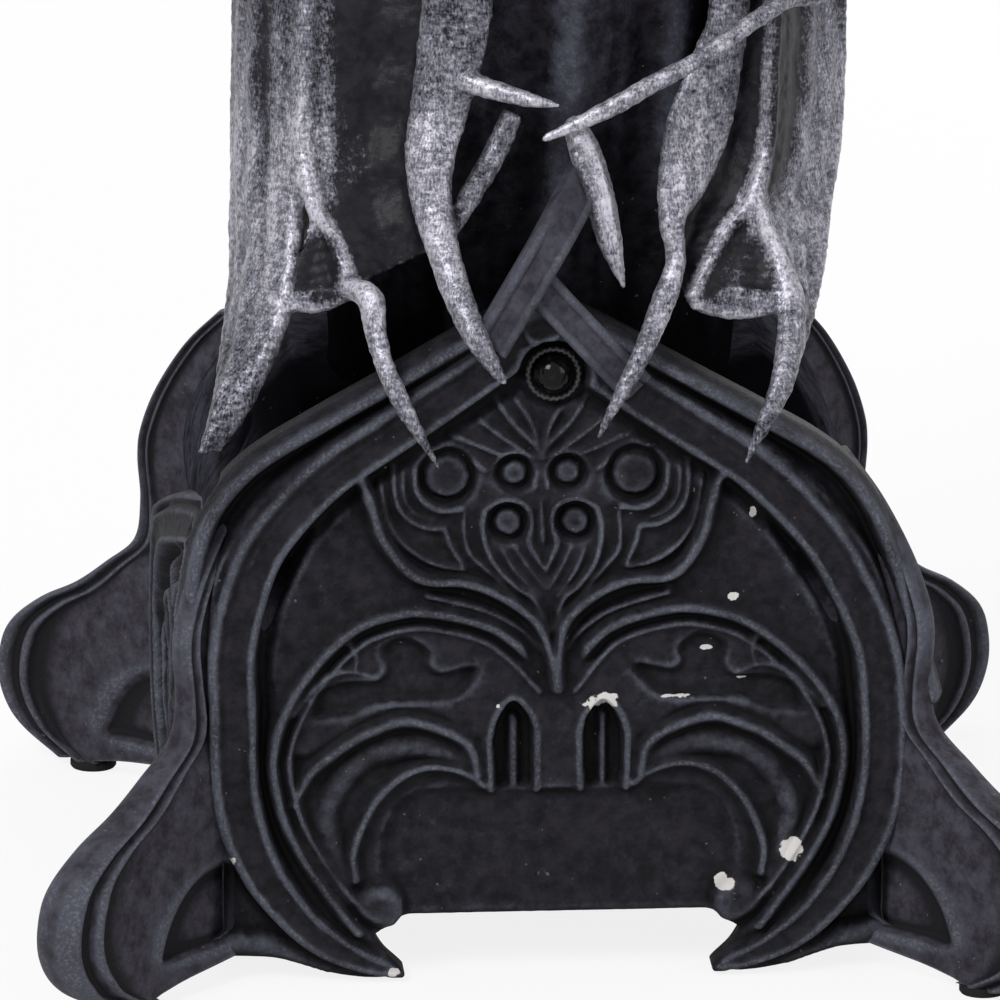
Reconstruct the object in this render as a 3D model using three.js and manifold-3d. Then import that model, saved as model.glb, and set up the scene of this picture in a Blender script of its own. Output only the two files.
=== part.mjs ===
// A gothic tea light holder: a square pedestal of tracery panels on flared corner feet, a draped column
// with folded wings round it, and a bowl on top with a metal cup for a standard tea light.
// Millimetres, +Z up, the front faces -Y, the origin is on the floor under the middle.

import * as THREE from 'three';
import { mergeVertices } from 'three/addons/utils/BufferGeometryUtils.js';
import Module from 'manifold-3d';

const wasm = await Module();
wasm.setup();

// Clearances
const GAP = 0.3;                // between pieces that seat on each other
const TEALIGHT_PLAY = 0.6;      // round the tea light in its metal cup

// Feet and corner ribs: half-widths are measured from the axis along X and along Y
const FOOT_HALF = 53.4;         // middle of a toe's tip
const WAIST_HALF = 40.5;        // narrowest part of a corner rib
const TOE_Z = 12;               // height of a toe's tip
const INSTEP_Z = 19;            // top edge of a toe
const WAIST_Z = 36;             // height of the waist
const FOOT_RISE = 3.2;          // underside of the web between a foot and the arch
const TOE_WIDTH = 8;            // across a toe
const RIB_WIDTH = 4.2;          // across a corner rib at the waist
const RIB_DEPTH = 3.7;          // how far a corner rib stands out of the panels
const PAD_RADIUS = 2.6;
const PAD_HEIGHT = 1;

// Pedestal block and its four tracery panels
const BLOCK_INSET = 6.5;        // the block stands back from the waist by this
const BLOCK_BOTTOM = 7.1;       // underside of the block and of the panels' plain fields
const SHOULDER_Z = 46;          // where the block starts to round in
const BLOCK_TOP = 59;
const BLOCK_TOP_HALF = 17.5;
const PANEL_THICK = 2.7;        // ground of a panel
const BAND_WIDTH = 5.6;         // the broad arch band
const BAND_RISE = 3.2;          // from the ground to the crest of the band
const RIDGE_WIDTH = 1.9;        // tracery ridges
const RIDGE_RISE = 1.5;
const OUTER_RIB_WIDTH = 2;
const OUTER_RIB_RISE = 2.4;
const FRONT_APEX_Z = 76;        // point of the front gable
const SIDE_APEX_Z = 55;         // point of the three lower gables
const HOOK_HALF = 17;           // points of the hooks that end the band
const HOOK_Z = 0.8;
const NICHE_DEPTH = 1;          // trefoils and lancets below the ground

// Stone at the apex of the front arch
const GEM_RADIUS = 2.2;
const GEM_RISE = 1.9;
const BEZEL_WIDTH = 0.9;
const BEZEL_RISE = 1.2;
const GEM_BELOW_APEX = 8.3;

// Draped column
const COLUMN_HEIGHT = 66;
const COLUMN_BASE_RADIUS = 20;
const COLUMN_TOP_RADIUS = 28;
const COLUMN_LIP = 8;           // plain round lip at the top
const FOLDS = 11;
const FOLD_DEPTH = 1.1;

// Wings
const ARM_RADIUS = 4;           // the bone that lies round the column's lip
const WRIST_RISE = 12;          // how far it rises at the sides
const FINGER_WIDTH = 4;         // a finger, where it is neither broad nor pointed
const WEB_THICK = 1.6;

// Joining pins
const PIN_RADIUS = 3;
const PIN_LENGTH = 20;
const WING_PIN_RADIUS = 1.2;
const WING_PIN_LENGTH = 9;

// Bowl, cup and tea light
const BOWL_RADIUS = 32;
const BOWL_HEIGHT = 33;
const BOWL_FOOT_RADIUS = 18;
const BOWL_FLOOR = 6;           // thickness under the cup
const BOWL_WALL = 2.6;
const CUP_WALL = 0.8;
const CUP_DEPTH = 13;
const CUP_FLANGE = 2.6;
const TEALIGHT_RADIUS = 19;
const TEALIGHT_HEIGHT = 16;
const CASE_WALL = 0.5;
const WAX_HEIGHT = 11.5;
const WICK_RADIUS = 0.7;
const WICK_ABOVE_WAX = 7;
const SUSTAINER_RADIUS = 6;
const SUSTAINER_THICK = 0.5;
const COLLAR_RADIUS = 1.8;
const COLLAR_HEIGHT = 4;

// Places worked out from the sizes above
const BLOCK_HALF = WAIST_HALF - BLOCK_INSET;
const PANEL_BACK = BLOCK_HALF + GAP;
const GROUND = PANEL_BACK + PANEL_THICK;
const BAND_FRONT = GROUND + BAND_RISE;
const RIB_INNER = WAIST_HALF - RIB_DEPTH;
const COLUMN_BOTTOM = BLOCK_TOP + GAP;
const COLUMN_TOP = COLUMN_BOTTOM + COLUMN_HEIGHT;
const ARM_Z = COLUMN_TOP - COLUMN_LIP / 2;
const ARM_PATH_RADIUS = COLUMN_TOP_RADIUS + GAP + ARM_RADIUS * 0.9;
const BOWL_BOTTOM = COLUMN_TOP + GAP;
const BOWL_TOP = BOWL_BOTTOM + BOWL_HEIGHT;
const CUP_BOTTOM = BOWL_BOTTOM + BOWL_FLOOR + GAP;
const CUP_INNER = TEALIGHT_RADIUS + TEALIGHT_PLAY;
const CUP_OUTER = CUP_INNER + CUP_WALL;
const CUP_TOP = CUP_BOTTOM + CUP_WALL + CUP_DEPTH;
const TEALIGHT_BOTTOM = CUP_BOTTOM + CUP_WALL + GAP;
const LONG = 400;               // longer than anything that is cut

const RESIN = new THREE.MeshStandardMaterial({ color: 0x202024, roughness: 0.5, metalness: 0 });
const SILVERED = new THREE.MeshStandardMaterial({ color: 0x8a8a94, roughness: 0.45, metalness: 0.6 });
const STONE = new THREE.MeshStandardMaterial({ color: 0x050507, roughness: 0.1, metalness: 0 });
const FELT = new THREE.MeshStandardMaterial({ color: 0x141414, roughness: 0.95, metalness: 0 });
const STEEL = new THREE.MeshStandardMaterial({ color: 0xa8a8ac, roughness: 0.35, metalness: 1 });
const ALUMINIUM = new THREE.MeshStandardMaterial({ color: 0xc8c8cc, roughness: 0.3, metalness: 1 });
const WAX = new THREE.MeshStandardMaterial({ color: 0xf2efe6, roughness: 0.55, metalness: 0 });
const COTTON = new THREE.MeshStandardMaterial({ color: 0xe6e0d2, roughness: 0.9, metalness: 0 });

const holder = new THREE.Group();

function add(name, geometry, material, turn = 0) {
  const mesh = new THREE.Mesh(geometry, material);
  mesh.name = name;
  mesh.rotation.z = turn;
  holder.add(mesh);
}

// Solids: closed geometries joined and cut

function solid(geometry) {
  const bare = geometry.clone();
  for (const name of Object.keys(bare.attributes)) {
    if (name !== 'position') {
      bare.deleteAttribute(name);
    }
  }
  const merged = mergeVertices(bare, 1e-4);
  const vertProperties = new Float32Array(merged.attributes.position.array);
  const triVerts = new Uint32Array(merged.index.array);
  return new wasm.Manifold(new wasm.Mesh({ numProp: 3, vertProperties, triVerts }));
}

function geometryOf(manifold) {
  const mesh = manifold.getMesh();
  const geometry = new THREE.BufferGeometry();
  geometry.setAttribute('position', new THREE.BufferAttribute(new Float32Array(mesh.vertProperties), 3));
  geometry.setIndex(new THREE.BufferAttribute(new Uint32Array(mesh.triVerts), 1));
  return geometry;
}

function joined(geometries) {
  return geometries.map(solid).reduce((whole, piece) => whole.add(piece));
}

function without(whole, geometries) {
  return geometries.map(solid).reduce((rest, piece) => rest.subtract(piece), whole);
}

function closedGeometry(points, triangles) {
  let volume = 0;
  for (const [a, b, c] of triangles) {
    volume += points[a].dot(new THREE.Vector3().crossVectors(points[b], points[c]));
  }
  const facingOut = volume > 0 ? triangles : triangles.map(([a, b, c]) => [a, c, b]);
  const geometry = new THREE.BufferGeometry().setFromPoints(points);
  geometry.setIndex(facingOut.flat());
  return geometry;
}

// A closed skin over a row of rings that have equally many points, with a fan at each end
function skin(rings) {
  const count = rings[0].length;
  const points = rings.flat();
  const triangles = [];
  for (let i = 0; i + 1 < rings.length; i++) {
    for (let j = 0; j < count; j++) {
      const a = i * count + j;
      const b = i * count + (j + 1) % count;
      triangles.push([a, b, b + count], [a, b + count, a + count]);
    }
  }
  for (const [end, side] of [[0, -1], [rings.length - 1, 1]]) {
    const middle = points.length;
    const ring = rings[end];
    points.push(ring.reduce((sum, p) => sum.add(p), new THREE.Vector3()).divideScalar(count));
    for (let j = 0; j < count; j++) {
      const a = end * count + j;
      const b = end * count + (j + 1) % count;
      triangles.push(side > 0 ? [a, b, middle] : [b, a, middle]);
    }
  }
  return closedGeometry(points, triangles);
}

// A closed sheet between a front and a back grid of points
function sheet(front, back) {
  const rows = front.length;
  const columns = front[0].length;
  const points = [...front.flat(), ...back.flat()];
  const at = (side, i, j) => side * rows * columns + i * columns + j;
  const triangles = [];
  const quad = (a, b, c, d) => triangles.push([a, b, c], [a, c, d]);
  for (let i = 0; i + 1 < rows; i++) {
    for (let j = 0; j + 1 < columns; j++) {
      quad(at(0, i, j), at(0, i, j + 1), at(0, i + 1, j + 1), at(0, i + 1, j));
      quad(at(1, i, j), at(1, i + 1, j), at(1, i + 1, j + 1), at(1, i, j + 1));
    }
    quad(at(0, i, 0), at(0, i + 1, 0), at(1, i + 1, 0), at(1, i, 0));
    const last = columns - 1;
    quad(at(0, i, last), at(1, i, last), at(1, i + 1, last), at(0, i + 1, last));
  }
  for (let j = 0; j + 1 < columns; j++) {
    quad(at(0, 0, j), at(1, 0, j), at(1, 0, j + 1), at(0, 0, j + 1));
    quad(at(0, rows - 1, j), at(0, rows - 1, j + 1), at(1, rows - 1, j + 1), at(1, rows - 1, j));
  }
  return closedGeometry(points, triangles);
}

function turned(profile, segments) {
  const lathe = new THREE.LatheGeometry(profile.map(([r, z]) => new THREE.Vector2(r, z)), segments);
  return lathe.rotateX(Math.PI / 2);
}

function upright(radius, height, bottom, sides) {
  const cylinder = new THREE.CylinderGeometry(radius, radius, height, sides);
  return cylinder.rotateX(Math.PI / 2).translate(0, 0, bottom + height / 2);
}

// A value between the listed ones at a share of the way along them
function along(values, share) {
  const place = share * (values.length - 1);
  const i = Math.min(Math.floor(place), values.length - 2);
  return values[i] + (values[i + 1] - values[i]) * (place - i);
}

// Pedestal block

function blockHalf(z) {
  const rise = Math.min(Math.max((z - SHOULDER_Z) / (BLOCK_TOP - SHOULDER_Z), 0), 1);
  return BLOCK_TOP_HALF + (BLOCK_HALF - BLOCK_TOP_HALF) * Math.sqrt(1 - rise * rise);
}

function squareRing(half, z) {
  return [[-1, -1], [1, -1], [1, 1], [-1, 1]].map(([x, y]) => new THREE.Vector3(x * half, y * half, z));
}

function pedestalBlock(extra) {
  const steps = 6;
  const rings = [squareRing(BLOCK_HALF + extra, BLOCK_BOTTOM - extra)];
  for (let i = 0; i <= steps; i++) {
    const z = SHOULDER_Z + (BLOCK_TOP - SHOULDER_Z) * Math.sin((i / steps) * Math.PI / 2);
    rings.push(squareRing(blockHalf(z) + extra, z + (i === steps ? extra : 0)));
  }
  return skin(rings);
}

// Corner ribs: half-width of the rib's outer and inner edge at each height

function ribOuter() {
  return [
    [FOOT_HALF - 5, PAD_HEIGHT],
    [FOOT_HALF - 1.6, TOE_Z - 7],
    [FOOT_HALF, TOE_Z],
    [FOOT_HALF - 1.4, INSTEP_Z],
    [WAIST_HALF + 5.6, INSTEP_Z + 3.4],
    [WAIST_HALF + 1.2, WAIST_Z - 7],
    [WAIST_HALF, WAIST_Z],
    [WAIST_HALF - 0.8, SHOULDER_Z],
    [blockHalf(SHOULDER_Z + 6) + GAP + RIB_DEPTH, SHOULDER_Z + 6],
    [blockHalf(BLOCK_TOP - 2) + GAP + RIB_DEPTH, BLOCK_TOP - 2],
  ];
}

function ribInner(z) {
  const footInner = FOOT_HALF - 10;
  if (z < FOOT_RISE + 2) {
    const share = (z - PAD_HEIGHT) / (FOOT_RISE + 2 - PAD_HEIGHT);
    return footInner + (RIB_INNER - footInner) * share;
  }
  const share = Math.min(Math.max((z - SHOULDER_Z + 2) / 6, 0), 1);
  return RIB_INNER + (blockHalf(z) + GAP - RIB_INNER) * share;
}

function cornerRib(extra) {
  const outer = new THREE.SplineCurve(ribOuter().map(([half, z]) => new THREE.Vector2(half, z)));
  const ankle = RIB_WIDTH + (TOE_WIDTH - RIB_WIDTH) * 0.4;
  const widths = [...Array(4).fill(TOE_WIDTH), ankle, ...Array(4).fill(RIB_WIDTH)];
  const steps = 15;
  const rings = [];
  for (let i = 0; i <= steps; i++) {
    const share = i / steps;
    const { x: reach, y: z } = outer.getPoint(share);
    const far = reach * Math.SQRT2 + extra;
    const near = Math.min(ribInner(z) * Math.SQRT2 - extra, far - 1);
    const side = along(widths, share) / 2 + extra;
    const level = i === 0 ? z - extra : z;
    const half = [[far, side - 1], [far - 1, side], [near, side]];
    const ring = [...half.map(([out, across]) => [out, -across]).reverse(), ...half];
    rings.push(ring.map(([out, across]) => new THREE.Vector3(
      (-out + across) * Math.SQRT1_2, (-out - across) * Math.SQRT1_2, level)));
  }
  return skin(rings);
}

// Panels: u runs across the face, v up and w out of it

function onFace(u, v, w) {
  return new THREE.Vector3(u, -w, v);
}

function mirrored(points) {
  return points.map(([u, v]) => [-u, v]);
}

// A raised line along a path on the face, as wide as the listed widths
function ridge(path, widths, base, rise) {
  const curve = new THREE.SplineCurve(path.map(([u, v]) => new THREE.Vector2(u, v)));
  const steps = path.length + 1;
  const rings = [];
  for (let i = 0; i <= steps; i++) {
    const share = i / steps;
    const middle = curve.getPoint(share);
    const ahead = curve.getTangent(share);
    const side = along(widths, share) / 2;
    const height = rise * Math.min(1, 0.35 + along(widths, share) / Math.max(...widths));
    const top = GROUND + height;
    const section = [[-side, base], [-side * 0.6, top], [side * 0.6, top], [side, base]];
    rings.push(section.map(([across, w]) => (
      onFace(middle.x - ahead.y * across, middle.y + ahead.x * across, w))));
  }
  return skin(rings);
}

function plate(outline, back, front) {
  const shape = new THREE.Shape(outline.map(([u, v]) => new THREE.Vector2(u, v)));
  const flat = new THREE.ExtrudeGeometry(shape, { depth: front - back, bevelEnabled: false });
  return flat.rotateX(Math.PI / 2).translate(0, -back, 0);
}

function disc(u, v, radius, back, front) {
  const round = new THREE.CylinderGeometry(radius, radius, front - back, 10);
  return round.translate(u, -(back + front) / 2, v);
}

function smooth(points, steps) {
  const curve = new THREE.SplineCurve(points.map(([u, v]) => new THREE.Vector2(u, v)));
  return curve.getPoints(steps).map((p) => [p.x, p.y]);
}

// Right half of a gable's edge, from the shoulder to the point
function gableEdge(apex) {
  const rise = apex - SHOULDER_Z;
  return [
    [WAIST_HALF - 1, SHOULDER_Z],
    [WAIST_HALF - 2.3, SHOULDER_Z + rise * 0.25],
    [WAIST_HALF - 8.2, SHOULDER_Z + rise * 0.46],
    [WAIST_HALF - 21.8, SHOULDER_Z + rise * 0.71],
    [0, apex],
  ];
}

function panelOutline(apex, extra) {
  const edge = smooth(gableEdge(apex), 10).map(([u, v]) => [u + extra * (u > 0), v + extra]);
  const foot = smooth([[HOOK_HALF + 5, BLOCK_BOTTOM], [WAIST_HALF - 12, FOOT_RISE - 1],
    [WAIST_HALF - 5, FOOT_RISE], [WAIST_HALF - 1, FOOT_RISE - 0.6]], 6);
  const half = [...foot, ...edge];
  return [...half, ...mirrored(half).reverse().slice(1)];
}

// Right half of the broad band, from the point of its hook to the apex
function bandPath(apex) {
  const crown = apex - 3.5;
  const spring = WAIST_HALF - 5.4;
  const climb = crown - SHOULDER_Z;
  return [
    [HOOK_HALF, HOOK_Z],
    [HOOK_HALF + 7, HOOK_Z + 3],
    [HOOK_HALF + 12.7, HOOK_Z + 8.4],
    [spring - 1.5, WAIST_Z - 20],
    [spring, WAIST_Z - 12],
    [spring - 1, SHOULDER_Z - 5.4],
    [spring - 4, SHOULDER_Z + climb * 0.04],
    [spring - 7.5, SHOULDER_Z + climb * 0.23],
    [spring - 12.7, SHOULDER_Z + climb * 0.43],
    [spring - 19.1, SHOULDER_Z + climb * 0.58],
    [0, crown],
  ];
}

const BAND_TAPER = [0.14, 0.6, 0.9, 1, 1, 1, 1, 1, 0.95, 0.9].map((share) => share * BAND_WIDTH);

function outerRib(apex) {
  return gableEdge(apex).map(([u, v]) => [u > 0 ? u - OUTER_RIB_WIDTH / 2 : 0, v - OUTER_RIB_WIDTH / 2]);
}

// Right half of the tracery that all four panels share, under the arch
const LOWER_ARCS = [
  [[0.6, 34], [6.3, 39.6], [14.8, 41.6], [22.6, 38.8], [29.3, 31], [30.8, 25], [28.4, 15], [22, 6.3]],
  [[8.6, 23.4], [10, 27], [16.5, 29.4], [22.5, 27], [26.6, 24]],
  [[7.8, 21.8], [14, 24.1], [19.7, 20.4], [22.2, 13]],
];

const LANCET = [[2.4, 21.4], [2.4, 28], [4.8, 31.6], [7.3, 28], [7.3, 21.4]];
const TREFOIL_LOBES = [
  [16, 36, 2.4],
  [12.4, 33.4, 1.8],
  [16.2, 33, 1.7],
  [20.4, 32.3, 1.8],
  [23.8, 31.4, 1.7],
];
const CUSP_KNOB = [19.3, 8.2, 2.7];

// Right half of the heart-shaped ornament in the front gable
const HEART = [
  [0.2, 33.5], [1.2, 39.7], [3.2, 42], [9, 44.9],
  [13, 45.4], [16, 48], [17.6, 52], [19, 55.5],
];
const HEART_VEINS = [
  [[8.2, 46.2], [11.8, 48], [14, 50.8], [16, 56.4]],
  [[0.4, 58.5], [1.6, 62], [4.6, 64.8]],
];
const BOSSES = [[10.4, 56.6, 2.5], [2.9, 56.5, 1.4], [3.8, 51.3, 1.5]];

function bothHalves(path, widths, base, rise) {
  return [ridge(path, widths, base, rise), ridge(mirrored(path), widths, base, rise)];
}

function bothDiscs([u, v, radius], back, front) {
  return [1, -1].map((side) => disc(side * u, v, radius, back, front));
}

// Wedge between the two diagonals, so that neighbouring panels meet in a mitre
function mitreWedge() {
  const back = GAP * Math.SQRT1_2;
  const corners = [[0, -back], [-LONG, -back - LONG], [LONG, -back - LONG]];
  const triangle = new THREE.Shape(corners.map(([x, y]) => new THREE.Vector2(x, y)));
  const wedge = new THREE.ExtrudeGeometry(triangle, { depth: LONG, bevelEnabled: false });
  return wedge.translate(0, 0, -LONG / 2);
}

function archPanel(apex, ornaments, niches) {
  const inside = GROUND - 0.6;
  const thin = [RIDGE_WIDTH, RIDGE_WIDTH];
  const pieces = [
    plate(panelOutline(apex, 0), PANEL_BACK, GROUND),
    ...bothHalves(bandPath(apex), BAND_TAPER, PANEL_BACK, BAND_RISE),
    ...bothHalves(outerRib(apex), [OUTER_RIB_WIDTH, OUTER_RIB_WIDTH], inside, OUTER_RIB_RISE),
    ...LOWER_ARCS.flatMap((arc) => bothHalves(arc, thin, inside, RIDGE_RISE)),
    ...bothDiscs(CUSP_KNOB, PANEL_BACK, GROUND + RIDGE_RISE),
    ...ornaments,
  ];
  const ribs = [0, Math.PI / 2].map((turn) => cornerRib(GAP).rotateZ(turn));
  const whole = joined(pieces).intersect(solid(mitreWedge()));
  return geometryOf(without(whole, [...niches, ...ribs]));
}

function lowerNiches() {
  const floor = GROUND - NICHE_DEPTH;
  const front = GROUND + BAND_RISE;
  const lancet = smooth(LANCET, 8);
  return [
    plate(lancet, floor, front),
    plate(mirrored(lancet), floor, front),
    ...TREFOIL_LOBES.flatMap((lobe) => bothDiscs(lobe, floor, front)),
  ];
}

// The gable's two outer ribs cross at the point and run on past it
function crossingRibs() {
  const inside = GROUND - 0.6;
  const widths = [OUTER_RIB_WIDTH + 1, OUTER_RIB_WIDTH + 0.6];
  const over = [[-5, FRONT_APEX_Z - 3.4], [0, FRONT_APEX_Z + 4], [4, FRONT_APEX_Z + 11]];
  const under = [[5, FRONT_APEX_Z - 3.4], [0.5, FRONT_APEX_Z + 2], [-3.5, FRONT_APEX_Z + 7]];
  return [ridge(over, widths, inside, OUTER_RIB_RISE), ridge(under, widths, inside, OUTER_RIB_RISE * 0.5)];
}

function heartOrnament() {
  const inside = GROUND - 0.6;
  const thin = [RIDGE_WIDTH, RIDGE_WIDTH];
  return [
    ...bothHalves(HEART, [RIDGE_WIDTH, RIDGE_WIDTH + 0.5], inside, RIDGE_RISE + 0.4),
    ...HEART_VEINS.flatMap((vein) => bothHalves(vein, thin, inside, RIDGE_RISE)),
    ...BOSSES.flatMap((boss) => bothDiscs(boss, inside, GROUND + RIDGE_RISE)),
  ];
}

// Stone and bezel on the front panel: turned about an axis that points out of the face

const GEM_SEAT = GROUND + GAP;
const GEM_Z = FRONT_APEX_Z - GEM_BELOW_APEX;

function outOfFace(profile) {
  return turned(profile, 16).rotateX(Math.PI / 2).translate(0, -GEM_SEAT, GEM_Z);
}

function gemStone() {
  const girdle = 0.5;
  const dome = [0, 1, 2, 3].map((i) => {
    const angle = i * Math.PI / 8;
    return [GEM_RADIUS * Math.cos(angle), girdle + GEM_RISE * Math.sin(angle)];
  });
  return outOfFace([[0, 0], [GEM_RADIUS, 0], ...dome, [0, girdle + GEM_RISE]]);
}

function gemBezel() {
  const inner = GEM_RADIUS + GAP;
  const outer = inner + BEZEL_WIDTH;
  return outOfFace([[inner, 0], [outer, 0], [outer, BEZEL_RISE * 0.6], [inner, BEZEL_RISE], [inner, 0]]);
}

// A space round the stone that the band leaves free
function gemSpace() {
  const radius = GEM_RADIUS + GAP + BEZEL_WIDTH + GAP;
  return disc(0, GEM_Z, radius, GROUND, GROUND + LONG);
}

// Draped column

function columnRadius(share) {
  const spread = share * share * (3 - 2 * share);
  return COLUMN_BASE_RADIUS + (COLUMN_TOP_RADIUS - COLUMN_BASE_RADIUS) * spread;
}

function columnSkin(extra) {
  const around = FOLDS * 3;
  const lip = 1 - COLUMN_LIP / COLUMN_HEIGHT;
  const levels = [0, 0.12, 0.3, 0.5, 0.7, lip - 0.06, lip, 1];
  return skin(levels.map((share, level) => {
    const folded = level > 0 && level < levels.length - 2 ? FOLD_DEPTH : 0;
    const plain = columnRadius(Math.min(1, share / lip)) + extra;
    const end = level === 0 ? -extra : (level === levels.length - 1 ? extra : 0);
    return Array.from({ length: around }, (_, j) => {
      const angle = (j / around) * 2 * Math.PI;
      const radius = plain + folded * Math.cos(FOLDS * angle);
      const z = COLUMN_BOTTOM + share * COLUMN_HEIGHT + end;
      return new THREE.Vector3(radius * Math.cos(angle), radius * Math.sin(angle), z);
    });
  }));
}

// Wings: points lie across and towards the back by shares of the column's top radius, and up from the
// block's top by a share of the column's height; widths, leads and sags are shares of a finger's width

function at(x, y, up) {
  return new THREE.Vector3(x * COLUMN_TOP_RADIUS, y * COLUMN_TOP_RADIUS, BLOCK_TOP + up * COLUMN_HEIGHT);
}

// A point in front of the front panel's band
function before(x, lead, up) {
  return at(x, 0, up).setY(-(BAND_FRONT + lead * FINGER_WIDTH));
}

// A point over the left corner of the front gable
function aboveCorner(inset, lead) {
  const z = SHOULDER_Z + (FRONT_APEX_Z - SHOULDER_Z) * 0.46;
  return new THREE.Vector3(inset - WAIST_HALF, -(BAND_FRONT + lead * FINGER_WIDTH), z);
}

// A point of the arm bone, at an angle from the front, towards +X
function arm(degrees, drop = 0) {
  const angle = degrees * Math.PI / 180;
  const z = ARM_Z + WRIST_RISE * Math.sin(angle) ** 4 - drop;
  return new THREE.Vector3(ARM_PATH_RADIUS * Math.sin(angle), -ARM_PATH_RADIUS * Math.cos(angle), z);
}

function outward(point, ahead) {
  const out = new THREE.Vector3(point.x, point.y, 0).normalize();
  return out.addScaledVector(ahead, -out.dot(ahead)).normalize();
}

// A tapering bone along points: its widths lie along the wing's surface, its depths across it
function bone(points, widths, depths) {
  const curve = new THREE.CatmullRomCurve3(points, false, 'centripetal');
  const steps = points.length + 1;
  const sides = 5;
  const rings = [];
  for (let i = 0; i <= steps; i++) {
    const share = i / steps;
    const middle = curve.getPoint(share);
    const ahead = curve.getTangent(share);
    const out = outward(middle, ahead);
    const across = new THREE.Vector3().crossVectors(ahead, out);
    const ring = [];
    for (let j = 0; j < sides; j++) {
      const angle = (j / sides) * 2 * Math.PI;
      ring.push(middle.clone()
        .addScaledVector(across, Math.cos(angle) * along(widths, share) * FINGER_WIDTH / 2)
        .addScaledVector(out, Math.sin(angle) * along(depths, share) * FINGER_WIDTH / 2));
    }
    rings.push(ring);
  }
  return skin(rings);
}

// A web between two lines of points, drawn in towards the axis half-way across
function web(left, right, sag) {
  const first = new THREE.CatmullRomCurve3(left, false, 'centripetal');
  const second = new THREE.CatmullRomCurve3(right, false, 'centripetal');
  const rows = 5;
  const columns = 2;
  const front = [];
  const back = [];
  for (let i = 0; i <= rows; i++) {
    const a = first.getPoint(i / rows);
    const b = second.getPoint(i / rows);
    const frontRow = [];
    const backRow = [];
    for (let j = 0; j <= columns; j++) {
      const share = j / columns;
      const point = a.clone().lerp(b, share);
      const out = new THREE.Vector3(point.x, point.y, 0).normalize();
      point.addScaledVector(out, -sag * FINGER_WIDTH * Math.sin(share * Math.PI));
      frontRow.push(point.clone().addScaledVector(out, WEB_THICK / 2));
      backRow.push(point.clone().addScaledVector(out, -WEB_THICK / 2));
    }
    front.push(frontRow);
    back.push(backRow);
  }
  return sheet(front, back);
}

// Fingers that hang at the side and the back, the same on both wings
const BACK_FINGERS = [
  { degrees: 100, reach: 1.18, up: 0.08 },
  { degrees: 136, reach: 1.23, up: 0.06 },
  { degrees: 170, reach: 1.29, up: 0.04 },
];

function backFinger({ degrees, reach, up }, side) {
  const angle = side * degrees * Math.PI / 180;
  const out = (radius, height) => at(radius * Math.sin(angle), -radius * Math.cos(angle), height);
  return [arm(side * degrees), out(reach, 0.67), out(reach, 0.39), out(reach + 0.04, up + 0.08),
    out(reach + 0.02, up)];
}

function backOfWing(side, edge) {
  const fingers = BACK_FINGERS.map((finger) => backFinger(finger, side));
  const bones = fingers.map((points) => bone(points, [1.25, 1.1, 1, 0.75, 0.2], [1.25, 1, 0.9, 0.65, 0.2]));
  const hems = [edge, ...fingers].map((points) => points.slice(0, 4));
  const webs = hems.slice(1).map((hem, i) => web(hems[i], hem, 0.75));
  return [...bones, ...webs];
}

function armBone(side) {
  const stops = [7, 30, 60, 90, 120, 150, 173].map((degrees) => arm(side * degrees));
  const thick = 2 * ARM_RADIUS / FINGER_WIDTH;
  const widths = [0.5, 1, 1, 1, 1, 1, 0.5].map((share) => share * thick);
  return bone(stops, widths, [0.7 * thick, thick, thick]);
}

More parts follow.
